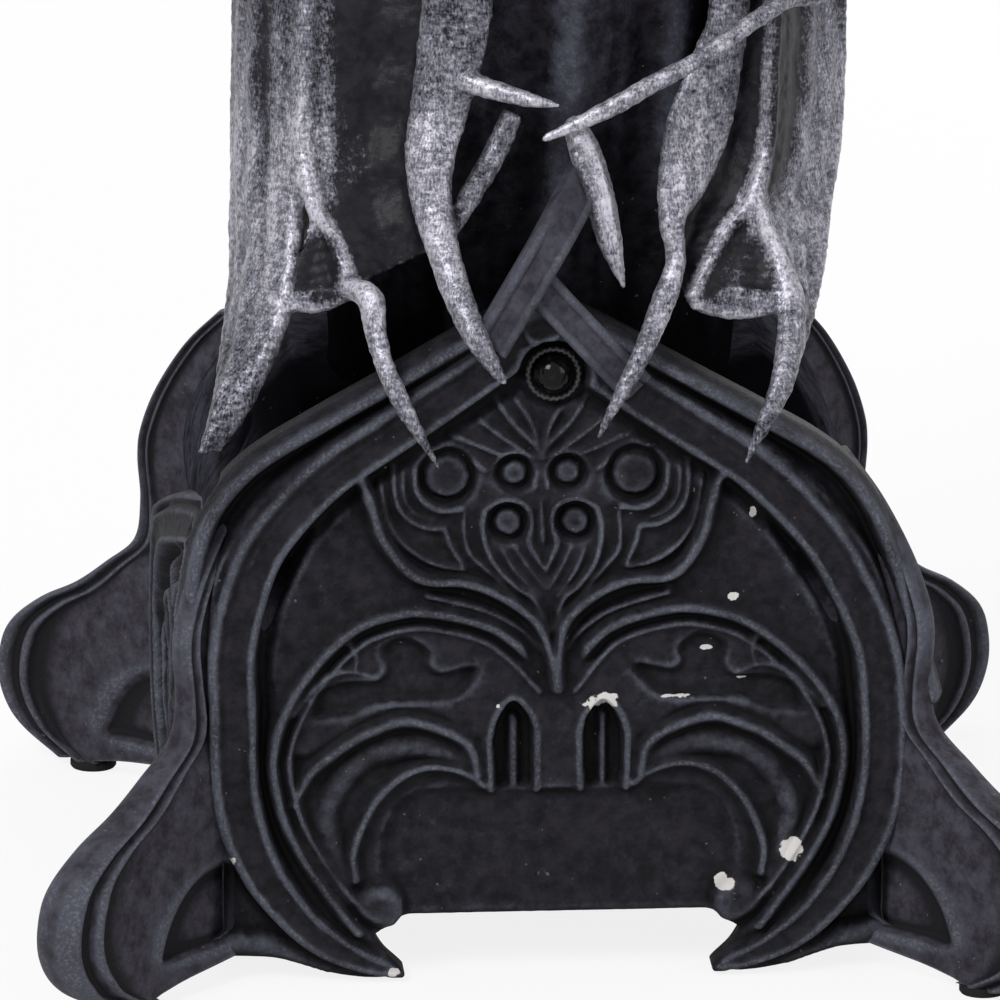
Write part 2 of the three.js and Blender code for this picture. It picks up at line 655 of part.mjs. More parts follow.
function leftWing() {
  const edge = [arm(-76), at(-1.17, -0.43, 0.67), at(-1.18, -0.5, 0.46), at(-1.19, -0.75, 0.26),
    at(-1.25, -1.11, 0.12), aboveCorner(3.6, -0.8)];
  const inner = [arm(-48), at(-0.89, -0.93, 0.72), at(-0.91, -1, 0.51), at(-0.88, -1.11, 0.38)];
  const bandSide = [arm(-52), at(-0.93, -0.86, 0.71), at(-0.95, -1, 0.42), at(-1.01, -1.18, 0.24),
    before(-1.17, -0.8, 0.09), aboveCorner(4.4, -0.55)];
  const webSide = [at(-0.88, -1.11, 0.38), at(-0.82, -1.14, 0.34), at(-0.76, -1.23, 0.26)];
  const hook = [at(-0.8, -1.2, 0.28), before(-0.69, -0.8, 0.26), before(-0.68, -0.4, 0.21),
    before(-0.6, 0.45, 0.11), before(-0.5, 0.7, 0.04), before(-0.45, 0.65, -0.01)];
  const broad = [arm(-18), at(-0.35, -1.07, 0.73), at(-0.41, -1.11, 0.56), at(-0.46, -1.18, 0.45),
    before(-0.42, -1.05, 0.34), before(-0.36, -0.18, 0.26), before(-0.3, 0.47, 0.2),
    before(-0.2, 0.65, 0.14)];
  const thumb = [at(-0.58, -1.04, 0.65), at(-0.3, -1.14, 0.6), at(-0.19, -1.21, 0.59),
    at(0.03, -1.32, 0.58)];
  const bar = [at(-0.13, -1.04, 0.54), at(-0.22, -1.07, 0.46), broad[4]];
  return [
    armBone(-1),
    bone(edge, [1.25, 1, 0.88, 0.88, 0.75, 0.2], [1.25, 1, 1, 1, 0.75, 0.25]),
    bone(inner, [1, 0.5, 0.45, 0.6], [1, 0.75, 0.75, 0.75]),
    bone(bandSide, [0.75, 0.5, 0.55, 0.6, 0.5, 0.2], [0.75, 0.65, 0.65, 0.65, 0.6, 0.25]),
    bone(webSide, [0.55, 0.45, 0.5], [0.65, 0.6, 0.6]),
    bone(hook, [0.6, 0.7, 0.6, 0.47, 0.35, 0.15], [0.6, 0.7, 0.6, 0.5, 0.35, 0.15]),
    bone(broad, [1.5, 1.85, 1.6, 1.3, 0.95, 0.8, 0.7, 0.4], [1.25, 1, 0.9, 0.9, 0.85, 0.75, 0.65, 0.35]),
    bone(thumb, [0.5, 0.45, 0.4, 0.15], [0.5, 0.45, 0.4, 0.15]),
    bone(bar, [0.65, 0.7, 0.65], [0.5, 0.55, 0.55]),
    web(edge, bandSide, 0.25),
    web(inner.slice(2), bandSide.slice(2, 4), 0),
    web(webSide, [at(-0.9, -1.11, 0.36), at(-0.94, -1.14, 0.3), at(-0.99, -1.18, 0.25)], 0.12),
    web([...inner, webSide[2]], broad.slice(0, 5), 1),
    ...backOfWing(-1, edge),
  ];
}

function rightWing() {
  const edge = [arm(76), at(1.16, -0.43, 0.65), at(1.14, -0.54, 0.44), at(1.09, -0.68, 0.34),
    at(1, -0.96, 0.22)];
  const inner = [arm(48), at(0.86, -0.96, 0.71), at(0.84, -1.04, 0.5), at(0.77, -1.11, 0.38)];
  const leg = [at(0.78, -1.11, 0.38), at(0.88, -1.18, 0.29), before(0.91, -1.3, 0.24),
    before(0.9, -0.67, 0.18), before(0.86, 0.23, 0.12), before(0.8, 0.55, 0.06), before(0.72, 0.65, -0.01)];
  const webSide = [at(0.76, -1.11, 0.37), at(0.67, -1.14, 0.35), at(0.59, -1.21, 0.3),
    before(0.51, -0.95, 0.24)];
  const broad = [arm(38), at(0.7, -1.04, 0.71), at(0.58, -1.11, 0.52), at(0.5, -1.18, 0.43),
    at(0.46, -1.23, 0.38), before(0.47, -0.95, 0.31), before(0.42, -0.4, 0.26), before(0.32, 0.47, 0.17),
    before(0.22, 0.7, 0.1), before(0.15, 0.7, 0.04)];
  const thumb = [arm(62, 0.75 * ARM_RADIUS), at(1.11, -0.86, 0.75), at(0.89, -1.14, 0.72),
    at(0.56, -1.38, 0.66), at(0.17, -1.46, 0.58), at(-0.06, -1.48, 0.54)];
  return [
    armBone(1),
    bone(edge, [1.25, 1, 0.88, 0.75, 0.5], [1.25, 1, 1, 1, 0.75]),
    bone(inner, [1, 0.5, 0.45, 0.6], [1, 0.75, 0.75, 0.75]),
    bone(leg, [0.5, 1, 1.1, 0.9, 0.75, 0.5, 0.2], [0.65, 0.75, 0.8, 0.75, 0.65, 0.45, 0.17]),
    bone(webSide, [0.5, 0.45, 0.45, 0.55], [0.65, 0.6, 0.6, 0.6]),
    bone(broad, [1.25, 1.4, 1.65, 2, 1.5, 0.65, 0.55, 0.47, 0.38, 0.15],
      [1, 0.9, 0.9, 0.85, 0.8, 0.7, 0.6, 0.5, 0.4, 0.15]),
    bone(thumb, [0.75, 0.55, 0.5, 0.45, 0.35, 0.15], [0.75, 0.55, 0.5, 0.45, 0.35, 0.15]),
    web(inner, edge.slice(0, 4), 0.25),
    web([inner[3], leg[1], leg[2]], [edge[3], at(1.04, -0.82, 0.27), edge[4]], 0.12),
    web(webSide, [leg[0], at(0.84, -1.15, 0.33), leg[1], leg[2]], 0.12),
    web(broad.slice(0, 6), [...inner, webSide[1], webSide[3]], 0.75),
    ...backOfWing(1, edge),
  ];
}

// Wing pins lie across the arm bone and reach into the column's lip
const WING_PIN_DEGREES = { front: 30, back: 150 };

function wingPin(degrees, extra) {
  const angle = degrees * Math.PI / 180;
  const pin = new THREE.CylinderGeometry(WING_PIN_RADIUS + extra, WING_PIN_RADIUS + extra,
    WING_PIN_LENGTH + 2 * extra, 10);
  return pin.translate(0, -COLUMN_TOP_RADIUS, 0).rotateZ(angle).translate(0, 0, ARM_Z);
}

function wingPins(extra) {
  const places = Object.values(WING_PIN_DEGREES);
  return [1, -1].flatMap((side) => places.map((degrees) => wingPin(side * degrees, extra)));
}

function seatedWing(pieces) {
  const gable = plate(panelOutline(FRONT_APEX_Z, GAP), PANEL_BACK - GAP, BAND_FRONT + GAP);
  return geometryOf(without(joined(pieces), [columnSkin(GAP), pedestalBlock(GAP),
    gable, ...wingPins(GAP)]));
}

// Blade that hangs before the column

function hangingBlade() {
  const line = [at(0.13, -0.93, 0.55), at(0.16, -1.05, 0.49), at(0.19, -1.14, 0.41),
    at(0.23, -1.18, 0.33), at(0.28, -1.21, 0.25)];
  const blade = bone(line, [0.6, 0.93, 0.88, 0.72, 0.15], [0.75, 1, 0.85, 0.65, 0.15]);
  return geometryOf(without(solid(blade), [columnSkin(GAP)]));
}

// Vertical pins between the pedestal, the column and the bowl

function joiningPin(seat, extra) {
  return upright(PIN_RADIUS + extra, PIN_LENGTH + 2 * extra, seat - PIN_LENGTH / 2 - extra, 16);
}

const PEDESTAL_PIN_Z = BLOCK_TOP + GAP / 2;
const BOWL_PIN_Z = COLUMN_TOP - PIN_LENGTH / 2 + BOWL_FLOOR - 2;

// Bowl, cup and tea light, all turned about the axis

function bowl() {
  const ledge = CUP_TOP - CUP_WALL - GAP;
  const socket = CUP_OUTER + GAP;
  const profile = [
    [0, BOWL_BOTTOM],
    [BOWL_FOOT_RADIUS, BOWL_BOTTOM],
    [BOWL_FOOT_RADIUS + 1.6, BOWL_BOTTOM + 1.2],
    [BOWL_FOOT_RADIUS, BOWL_BOTTOM + 2.6],
    [CUP_OUTER + BOWL_WALL + 1, BOWL_BOTTOM + 7],
    [BOWL_RADIUS - 3.2, BOWL_TOP - 14],
    [BOWL_RADIUS - 2, BOWL_TOP - 5],
    [BOWL_RADIUS, BOWL_TOP - 3.4],
    [BOWL_RADIUS, BOWL_TOP - 1],
    [BOWL_RADIUS - 1, BOWL_TOP],
    [BOWL_RADIUS - BOWL_WALL, BOWL_TOP],
    [BOWL_RADIUS - BOWL_WALL - 1.6, BOWL_TOP - 8],
    [CUP_OUTER + CUP_FLANGE + GAP, ledge + CUP_WALL],
    [CUP_OUTER + CUP_FLANGE + GAP, ledge],
    [socket, ledge],
    [socket, BOWL_BOTTOM + BOWL_FLOOR],
    [0, BOWL_BOTTOM + BOWL_FLOOR],
  ];
  return turned(profile, 32);
}

function cupLiner() {
  const profile = [
    [0, CUP_BOTTOM],
    [CUP_OUTER, CUP_BOTTOM],
    [CUP_OUTER, CUP_TOP - CUP_WALL],
    [CUP_OUTER + CUP_FLANGE, CUP_TOP - CUP_WALL],
    [CUP_OUTER + CUP_FLANGE, CUP_TOP],
    [CUP_INNER, CUP_TOP],
    [CUP_INNER, CUP_BOTTOM + CUP_WALL],
    [0, CUP_BOTTOM + CUP_WALL],
  ];
  return turned(profile, 32);
}

function tealightCase() {
  const inner = TEALIGHT_RADIUS - CASE_WALL;
  const profile = [
    [0, TEALIGHT_BOTTOM],
    [TEALIGHT_RADIUS, TEALIGHT_BOTTOM],
    [TEALIGHT_RADIUS, TEALIGHT_BOTTOM + TEALIGHT_HEIGHT],
    [inner, TEALIGHT_BOTTOM + TEALIGHT_HEIGHT],
    [inner, TEALIGHT_BOTTOM + CASE_WALL],
    [0, TEALIGHT_BOTTOM + CASE_WALL],
  ];
  return turned(profile, 32);
}

const SUSTAINER_BOTTOM = TEALIGHT_BOTTOM + CASE_WALL + GAP;
const WAX_BOTTOM = TEALIGHT_BOTTOM + CASE_WALL + GAP;
const WICK_BOTTOM = SUSTAINER_BOTTOM + SUSTAINER_THICK + GAP;

function wickSustainer() {
  const bore = WICK_RADIUS + GAP;
  const top = SUSTAINER_BOTTOM + SUSTAINER_THICK;
  const profile = [
    [0, SUSTAINER_BOTTOM],
    [SUSTAINER_RADIUS, SUSTAINER_BOTTOM],
    [SUSTAINER_RADIUS, top],
    [COLLAR_RADIUS, top],
    [COLLAR_RADIUS, top + COLLAR_HEIGHT],
    [bore, top + COLLAR_HEIGHT],
    [bore, top],
    [0, top],
  ];
  return turned(profile, 16);
}

function wax() {
  const outer = TEALIGHT_RADIUS - CASE_WALL - GAP;
  const discTop = SUSTAINER_BOTTOM + SUSTAINER_THICK + GAP;
  const profile = [
    [SUSTAINER_RADIUS + GAP, WAX_BOTTOM],
    [outer, WAX_BOTTOM],
    [outer, WAX_BOTTOM + WAX_HEIGHT],
    [WICK_RADIUS + GAP, WAX_BOTTOM + WAX_HEIGHT],
    [WICK_RADIUS + GAP, discTop + COLLAR_HEIGHT],
    [COLLAR_RADIUS + GAP, discTop + COLLAR_HEIGHT],
    [COLLAR_RADIUS + GAP, discTop],
    [SUSTAINER_RADIUS + GAP, discTop],
    [SUSTAINER_RADIUS + GAP, WAX_BOTTOM],
  ];
  return turned(profile, 32);
}

// Assembly: the corner rib and the panels are made once and turned to their places

const QUARTER = Math.PI / 2;
const CORNERS = ['front_left', 'front_right', 'back_right', 'back_left'];

function padAt(turn) {
  const reach = (FOOT_HALF - 5 + FOOT_HALF - 10) / 2;
  return upright(PAD_RADIUS, PAD_HEIGHT, 0, 16).translate(-reach, -reach, 0).rotateZ(turn);
}

const pinBores = [joiningPin(PEDESTAL_PIN_Z, GAP), joiningPin(BOWL_PIN_Z, GAP)];
const frontOrnaments = [...heartOrnament(), ...crossingRibs()];

add('pedestal_block', geometryOf(without(solid(pedestalBlock(0)), pinBores)), RESIN);
add('front_arch_panel', archPanel(FRONT_APEX_Z, frontOrnaments, [...lowerNiches(), gemSpace()]), RESIN);
['right', 'back', 'left'].forEach((name, i) => {
  add(`${name}_arch_panel`, archPanel(SIDE_APEX_Z, [], lowerNiches()), RESIN, (i + 1) * QUARTER);
});
CORNERS.forEach((name, i) => {
  add(`${name}_foot`, cornerRib(0).rotateZ(i * QUARTER), RESIN);
  add(`${name}_pad`, padAt(i * QUARTER), FELT);
});
add('gem_bezel', gemBezel(), SILVERED);
add('gem_cabochon', gemStone(), STONE);
add('draped_column', geometryOf(without(solid(columnSkin(0)), [...pinBores, ...wingPins(GAP)])), RESIN);
add('left_wing', seatedWing(leftWing()), SILVERED);
add('right_wing', seatedWing(rightWing()), SILVERED);
add('hanging_blade', hangingBlade(), SILVERED);
add('pedestal_pin', joiningPin(PEDESTAL_PIN_Z, 0), STEEL);
add('bowl_pin', joiningPin(BOWL_PIN_Z, 0), STEEL);
for (const [side, name] of [[-1, 'left'], [1, 'right']]) {
  for (const [place, degrees] of Object.entries(WING_PIN_DEGREES)) {
    add(`${name}_wing_${place}_pin`, wingPin(side * degrees, 0), STEEL);
  }
}
add('bowl', geometryOf(without(solid(bowl()), pinBores)), RESIN);
add('cup_liner', cupLiner(), STEEL);
add('tealight_case', tealightCase(), ALUMINIUM);
add('wick_sustainer', wickSustainer(), STEEL);
add('tealight_wax', wax(), WAX);
const wickHeight = WAX_BOTTOM + WAX_HEIGHT + WICK_ABOVE_WAX - WICK_BOTTOM;
add('tealight_wick', upright(WICK_RADIUS, wickHeight, WICK_BOTTOM, 10), COTTON);

export default holder;
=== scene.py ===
"""Looks of the gothic tea light holder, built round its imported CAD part.

Lengths in this script are millimetres unless a comment says otherwise, and MM turns them into metres.
The front faces -Y. A face has u across it, v up and w out of it.
"""
import math

import bpy
import numpy as np
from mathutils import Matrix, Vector, noise

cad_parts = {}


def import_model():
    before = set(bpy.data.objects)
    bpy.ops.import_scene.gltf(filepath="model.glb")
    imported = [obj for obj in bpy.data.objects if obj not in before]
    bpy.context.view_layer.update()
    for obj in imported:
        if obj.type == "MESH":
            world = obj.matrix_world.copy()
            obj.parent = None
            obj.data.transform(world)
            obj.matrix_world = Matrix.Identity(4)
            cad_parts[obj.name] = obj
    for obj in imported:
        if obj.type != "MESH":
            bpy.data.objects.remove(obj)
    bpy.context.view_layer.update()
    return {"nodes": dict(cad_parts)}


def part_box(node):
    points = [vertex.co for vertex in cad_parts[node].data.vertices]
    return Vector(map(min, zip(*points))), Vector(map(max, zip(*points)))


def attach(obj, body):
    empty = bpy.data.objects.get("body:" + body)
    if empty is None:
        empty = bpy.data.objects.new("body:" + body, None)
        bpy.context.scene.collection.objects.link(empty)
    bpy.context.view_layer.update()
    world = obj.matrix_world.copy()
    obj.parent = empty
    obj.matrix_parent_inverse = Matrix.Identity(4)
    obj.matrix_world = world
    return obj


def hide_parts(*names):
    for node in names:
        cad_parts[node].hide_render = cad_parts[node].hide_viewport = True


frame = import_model()
MM = 0.001


def cad_box(node):
    """Lowest and highest corner of a CAD node in millimetres."""
    low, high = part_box(node)
    return np.array(low) / MM, np.array(high) / MM


# Places taken from the frame
BLOCK_LOW, BLOCK_HIGH = cad_box("pedestal_block")
FOOT_LOW, FOOT_HIGH = cad_box("front_left_foot")
PAD_LOW, PAD_HIGH = cad_box("front_left_pad")
COLUMN_LOW, COLUMN_HIGH = cad_box("draped_column")
BOWL_LOW, BOWL_HIGH = cad_box("bowl")
CUP_LOW, CUP_HIGH = cad_box("cup_liner")
CLIP_LOW, CLIP_HIGH = cad_box("wick_sustainer")
CASE_LOW, CASE_HIGH = cad_box("tealight_case")
WAX_LOW, WAX_HIGH = cad_box("tealight_wax")
WICK_LOW, WICK_HIGH = cad_box("tealight_wick")
GEM_LOW, GEM_HIGH = cad_box("gem_cabochon")
BEZEL_LOW, BEZEL_HIGH = cad_box("gem_bezel")

# Sizes of the looks
PANEL_BACK = -cad_box("front_arch_panel")[1][1]      # distance of the panels' backs from the axis
GROUND = PANEL_BACK + 2.7            # plane that the tracery stands on
FRONT_STEP = 0.25                    # grid of the front relief
SIDE_STEP = 0.36                     # grid of the other three
MITRE = 1.2                          # how far a panel's back may reach past the corner's diagonal
PLATE_BOTTOM = 7.1                   # lower edge of a panel's plain field
WAIST = 40.5                         # half-width of the pedestal at its waist
WING_VOXEL = 0.36                    # fineness of the wings' skins
BLADE_VOXEL = 0.25
WEB_ROWS, WEB_COLUMNS = 40, 25       # points along and across a membrane
CAST_GRAIN = 0.022                   # unevenness of the tracery
COLUMN_RADIUS = 22.0                 # at the column's foot
COLUMN_FLARE = 6.0                   # how much wider its top is
COLUMN_LIP = 8.0                     # height of the straight rim at its top
FOLDS = 13                           # folds round the column
FOLD_SWING, FINE_SWING = 1.1, 0.35   # of the folds and of the small ones between them
BEZEL_BEADS = 26
BOWL_FOOT = 18.0                     # radius of the bowl's foot
BOWL_ARCHES = 14
BOWL_STEP = 0.45                     # spacing of the points along the bowl's profile
BELT_MARGIN = 8.0                    # plain height under and over the bowl's arches
ARCH_RISE, PIER_RISE = 0.75, 0.6     # how far arches and piers stand out
ARCH_SUNK = 0.5                      # how far the fields under the arches lie back
CUP_FLANGE = 2.6                     # how far the cup's rim stands out
CUP_WALL = 0.8
CASE_FLUTES = 72
FLUTE_SWING = 0.11
WAX_BASE = 6.41                      # radius of the face that closes the wax underneath
WAX_CLIMB, WAX_SINK = 0.45, 0.5      # at the edge of the wax and round the wick
WICK_STRANDS = 3
WICK_TWIST = 1.6                     # radians for each millimetre
WICK_OFF, WICK_LEAN = 0.001, 0.25    # off the axis, and further over at the tip
AXIS = 0.01                          # radius of a turned profile where it meets its axis

# Camera, fitted to the photograph
CAMERA_AZIMUTH = math.radians(-4.1)
CAMERA_ELEVATION = math.radians(17)
CAMERA_DISTANCE = 1750
CAMERA_SENSOR = 36
CAMERA_LENS = 570.8
CAMERA_CLIP = (0.05, 20)             # metres
AIM_ACROSS = -3.09
AIM_UP = 41.5

# Studio
FLOOR_REACH = 3.0                    # metres
FLOOR_GLOW = 0.85                    # how far the floor shows as plain white; the rest keeps the shadow
WORLD_FILL = 0.36                    # strength of the world's light on the object
LAMP_TARGET = (0, 0, 60)
LAMPS = [("key_softbox", (-500, -700, 750), 420, 9),       # name, place, size and watts
         ("fill_softbox", (700, -600, 400), 500, 2.5),
         ("top_softbox", (0, 150, 900), 500, 1.2),
         ("back_softbox", (300, 850, 420), 500, 4)]


# Lines, grids and meshes

def spline(points, step=0.5):
    """A smooth line through rows of points, with a row about every step; further columns follow along."""
    p = np.asarray(points, float)
    ends = np.vstack([2 * p[0] - p[1], p, 2 * p[-1] - p[-2]])
    rows = []
    for a, b, c, d in zip(ends, ends[1:], ends[2:], ends[3:]):
        count = max(2, int(np.linalg.norm((c - b)[:3]) / step))
        t = np.linspace(0, 1, count, endpoint=False)[:, None]
        rows.append(0.5 * (2 * b + (c - a) * t + (2 * a - 5 * b + 4 * c - d) * t ** 2
                           + (3 * b - a - 3 * c + d) * t ** 3))
    return np.vstack([*rows, p[-1:]])


def mirrored(path):
    return np.asarray(path, float) * [-1, 1]


def both(path):
    """A path on the right half of a face and its mirror image."""
    return np.asarray(path, float), mirrored(path)


def at_heights(z, table):
    """Values between the rows (height, value) of a table."""
    heights, values = np.array(table).T
    return np.interp(z, heights, values)


def turned(points, turn):
    """Points turned about the Z axis."""
    x, y, z = np.asarray(points, float).T
    c, s = math.cos(turn), math.sin(turn)
    return np.column_stack([x * c - y * s, x * s + y * c, z])


def offset(path, distance):
    """The path moved to its left by a distance."""
    ahead = np.gradient(path, axis=0)
    ahead /= np.linalg.norm(ahead, axis=1)[:, None]
    return path + distance * np.stack([-ahead[:, 1], ahead[:, 0]], 1)


def smoothstep(x):
    t = np.clip(x, 0, 1)
    return t * t * (3 - 2 * t)


def ring_faces(rings, around):
    """Quads between rings of points, and a flat face over each end."""
    i, j = np.meshgrid(np.arange(rings - 1), np.arange(around), indexing="ij")
    after = (j + 1) % around
    quads = [i * around + j, i * around + after, (i + 1) * around + after, (i + 1) * around + j]
    last = (rings - 1) * around
    ends = [list(range(around))[::-1], [last + k for k in range(around)]]
    return np.stack([q.ravel() for q in quads], 1).tolist() + ends


def read(collection, name, width, kind=np.float32):
    """A property of all the items of a collection, as an array."""
    values = np.zeros(len(collection) * width, kind)
    collection.foreach_get(name, values)
    return values.reshape(-1, width) if width > 1 else values


def ridge_of(mesh):
    """The values that mark_ridges stored."""
    return read(mesh.attributes["ridge"].data, "value", 1)


def set_attribute(mesh, name, values):
    attribute = mesh.attributes.get(name) or mesh.attributes.new(name, "FLOAT", "POINT")
    attribute.data.foreach_set("value", np.asarray(values, np.float32))


def averaged(mesh, values, rounds):
    """Vertex values averaged with their neighbours, a few times over."""
    edges = read(mesh.edges, "vertices", 2, np.int32)
    count = len(mesh.vertices)
    degree = np.maximum(np.bincount(edges.ravel(), minlength=count), 1)[:, None]
    for _ in range(rounds):
        total = np.zeros_like(values)
        for column in range(values.shape[1]):
            total[:, column] += np.bincount(edges[:, 0], values[edges[:, 1], column], count)
            total[:, column] += np.bincount(edges[:, 1], values[edges[:, 0], column], count)
        values = total / degree
    return values


def mark_ridges(mesh, rounds, gain):
    """Stores how far each vertex stands out of its surroundings, in millimetres, as the attribute ridge."""
    places = read(mesh.vertices, "co", 3).astype(float)
    normals = read(mesh.vertex_normals, "vector", 3)
    around = averaged(mesh, places, rounds)
    set_attribute(mesh, "ridge", gain * ((places - around) * normals).sum(1) / MM)


def piece(name, points, faces, material, nodes=(), body="holder", ridge_rounds=6, gain=1.0):
    """A smooth mesh object that rides on a body and stands for CAD nodes."""
    mesh = bpy.data.meshes.new(name)
    mesh.from_pydata((np.asarray(points, float) * MM).tolist(), [], faces)
    mesh.update()
    return dress(name, mesh, material, nodes, body, ridge_rounds, gain)


def dress(name, mesh, material, nodes, body="holder", ridge_rounds=6, gain=1.0):
    """Finishes a mesh as a smooth object that rides on a body and stands for CAD nodes."""
    mesh.polygons.foreach_set("use_smooth", np.ones(len(mesh.polygons), bool))
    mesh.materials.clear()
    mesh.materials.append(material)
    mark_ridges(mesh, ridge_rounds, gain)
    made = bpy.data.objects.new(name, mesh)
    bpy.context.scene.collection.objects.link(made)
    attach(made, body)
    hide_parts(*nodes)
    return made


def joined(parts):
    """Points and faces of several (points, faces) parts as one."""
    points = []
    faces = []
    start = 0
    for part_points, part_faces in parts:
        points.append(part_points)
        faces += [[start + k for k in face] for face in part_faces]
        start += len(part_points)
    return np.vstack(points), faces


def lathe(profile, around, shape=None):
    """A body turned about the Z axis; shape may change the radii, given angle, radius and height grids."""
    profile = np.asarray(profile, float)
    angle = np.linspace(0, 2 * np.pi, around, endpoint=False)[None, :]
    radius = np.repeat(profile[:, :1], around, 1)
    z = np.repeat(profile[:, 1:], around, 1)
    if shape is not None:
        radius = shape(angle, radius, z)
    points = np.stack([radius * np.cos(angle), radius * np.sin(angle), z], 2).reshape(-1, 3)
    return points, ring_faces(len(profile), around)


def arc(centre, radius, start, end, count):
    """Points of a circular arc between two angles in degrees."""
    angles = np.radians(np.linspace(start, end, count))
    return [(centre[0] + radius * math.cos(a), centre[1] + radius * math.sin(a)) for a in angles]


def dense(profile, step):
    """A profile with points added along its straight stretches."""
    rows = [np.asarray(profile[0], float)]
    for a, b in zip(profile, profile[1:]):
        a, b = np.asarray(a, float), np.asarray(b, float)
        count = max(1, int(np.linalg.norm(b - a) / step))
        rows += [a + (b - a) * k / count for k in range(1, count + 1)]
    return np.array(rows)


# Relief on a face

def inside_of(polygon, u, v):
    """Which of the places lie inside a polygon."""
    inside = np.zeros(u.shape, bool)
    for (au, av), (bu, bv) in zip(polygon, np.roll(polygon, -1, 0)):
        if av == bv:
            continue
        inside ^= ((av > v) != (bv > v)) & (u < (bu - au) * (v - av) / (bv - av) + au)
    return inside


def nearest_on(polygon, points):
    """The places on a polygon that are nearest to the given points, and how far off they are."""
    gaps = np.full(len(points), np.inf)
    places = points.copy()
    for a, b in zip(polygon, np.roll(polygon, -1, 0)):
        along = b - a
        t = np.clip(((points - a) @ along) / max(along @ along, 1e-9), 0, 1)
        place = a + t[:, None] * along
        gap = np.linalg.norm(points - place, axis=1)
        closer = gap < gaps
        gaps[closer] = gap[closer]
        places[closer] = place[closer]
    return places, gaps


class Relief:
    """Heights above the ground of a face, inside an outline, with strokes and cuts drawn on them."""

    def __init__(self, outline, step, lean):
        self.outline = np.asarray(outline, float)
        self.step = step
        low = self.outline.min(0) - step
        high = self.outline.max(0) + 2 * step
        across = np.arange(low[0], high[0], step)
        up = np.arange(low[1], high[1], step)
        self.plain_u, self.v = np.meshgrid(across, up)
        self.u = self.plain_u - lean(self.v)
        self.height = np.zeros_like(self.u)

    def near(self, path, reach):
        """Distance to a path, side of it and share along it, for the grid points within reach of it."""
        distance = np.full(self.u.shape, np.inf)
        side = np.ones(self.u.shape)
        share = np.zeros(self.u.shape)
        lengths = np.linalg.norm(np.diff(path, axis=0), axis=1)
        run = np.concatenate([[0], np.cumsum(lengths)]) / lengths.sum()
        slack = reach + 2
        for k, (a, b) in enumerate(zip(path, path[1:])):
            columns = np.flatnonzero((self.plain_u[0] > min(a[0], b[0]) - slack)
                                     & (self.plain_u[0] < max(a[0], b[0]) + slack))
            rows = np.flatnonzero((self.v[:, 0] > min(a[1], b[1]) - slack)
                                  & (self.v[:, 0] < max(a[1], b[1]) + slack))
            if not len(columns) or not len(rows):
                continue
            window = (slice(rows[0], rows[-1] + 1), slice(columns[0], columns[-1] + 1))
            along = b - a
            du = self.u[window] - a[0]
            dv = self.v[window] - a[1]
            t = np.clip((du * along[0] + dv * along[1]) / max(along @ along, 1e-9), 0, 1)
            gap = np.hypot(du - t * along[0], dv - t * along[1])
            closer = gap < distance[window]
            distance[window] = np.where(closer, gap, distance[window])
            side[window] = np.where(closer, np.sign(along[0] * dv - along[1] * du), side[window])
            share[window] = np.where(closer, run[k] + t * (run[k + 1] - run[k]), share[window])
        return distance, side, share

    def from_spot(self, u, v):
        """Distances from a spot and from its mirror image."""
        return [np.hypot(self.u - side * u, self.v - v) for side in (1, -1)]

    def raise_to(self, where, bump):
        """Lifts the field to a bump where it lies lower."""
        self.height = np.where(where, np.maximum(self.height, bump), self.height)

    def bead(self, path, half_width, rise, taper=(1, 1), skirt=1.0):
        """A rounded ridge along both mirror images of a path, with a hollow skirt a few widths wide."""
        for line in both(path):
            distance, _, share = self.near(line, half_width * skirt)
            size = np.interp(share, np.linspace(0, 1, len(taper)), taper)
            x = distance / (half_width * np.maximum(size, 0.05))
            crest = np.clip(1 - np.minimum(x, 1) ** 2, 0, 1) ** 0.8
            slope = 0.6 * np.clip(1 - x / skirt, 0, 1) ** 2
            bump = rise * np.sqrt(size) * np.maximum(crest, slope)
            self.raise_to(x < skirt, bump)

    def groove(self, path, half_width, depth):
        """A rounded furrow along both mirror images of a path."""
        for line in both(path):
            distance, _, _ = self.near(line, half_width)
            x = np.minimum(distance / half_width, 1)
            self.height -= depth * (1 - x * x) ** 1.5

    def moulding(self, path, section, taper):
        """A band whose section lists heights against the distance outwards from a path, on both halves."""
        places, heights = np.array(section).T
        for line, hand in zip(both(path), (1, -1)):
            distance, side, share = self.near(line, np.abs(places).max())
            size = np.interp(share, np.linspace(0, 1, len(taper)), taper)
            across = -hand * side * np.minimum(distance, 99) / size
            bump = np.interp(across, places, heights) * np.sqrt(size)
            self.raise_to((across > places[0]) & (across < places[-1]), bump)

    def level(self, polygon, height, wall):
        """Brings the field inside a polygon to a height, with sloping walls, on both halves."""
        for shape in both(polygon):
            distance, _, _ = self.near(np.vstack([shape, shape[:1]]), wall)
            signed = np.where(inside_of(shape, self.u, self.v), distance, -distance)
            share = smoothstep(np.clip(signed / wall, -1, 1) * 0.5 + 0.5)
            self.height += share * (height - self.height)

    def moat(self, u, v, radius, floor, wall):
        """Brings a round spot to a height, on both halves."""
        for distance in self.from_spot(u, v):
            share = smoothstep((radius - distance) / wall + 0.5)
            self.height += share * (floor - self.height)

    def boss(self, u, v, radius, rise, flat=0.55):
        """A round button with a flat top, on both halves."""
        for distance in self.from_spot(u, v):
            edge = np.clip((distance / radius - flat) / (1 - flat), 0, 1)
            self.raise_to(distance / radius < 1, rise * np.sqrt(1 - edge * edge))

    def grain(self, amount, seed):
        """Small unevenness of a hand-made surface."""
        rough = np.random.default_rng(seed).normal(0, 1, self.height.shape)
        for _ in range(2):
            rough = (rough + np.roll(rough, 1, 0) + np.roll(rough, -1, 0)
                     + np.roll(rough, 1, 1) + np.roll(rough, -1, 1)) / 3
        self.height += amount * rough

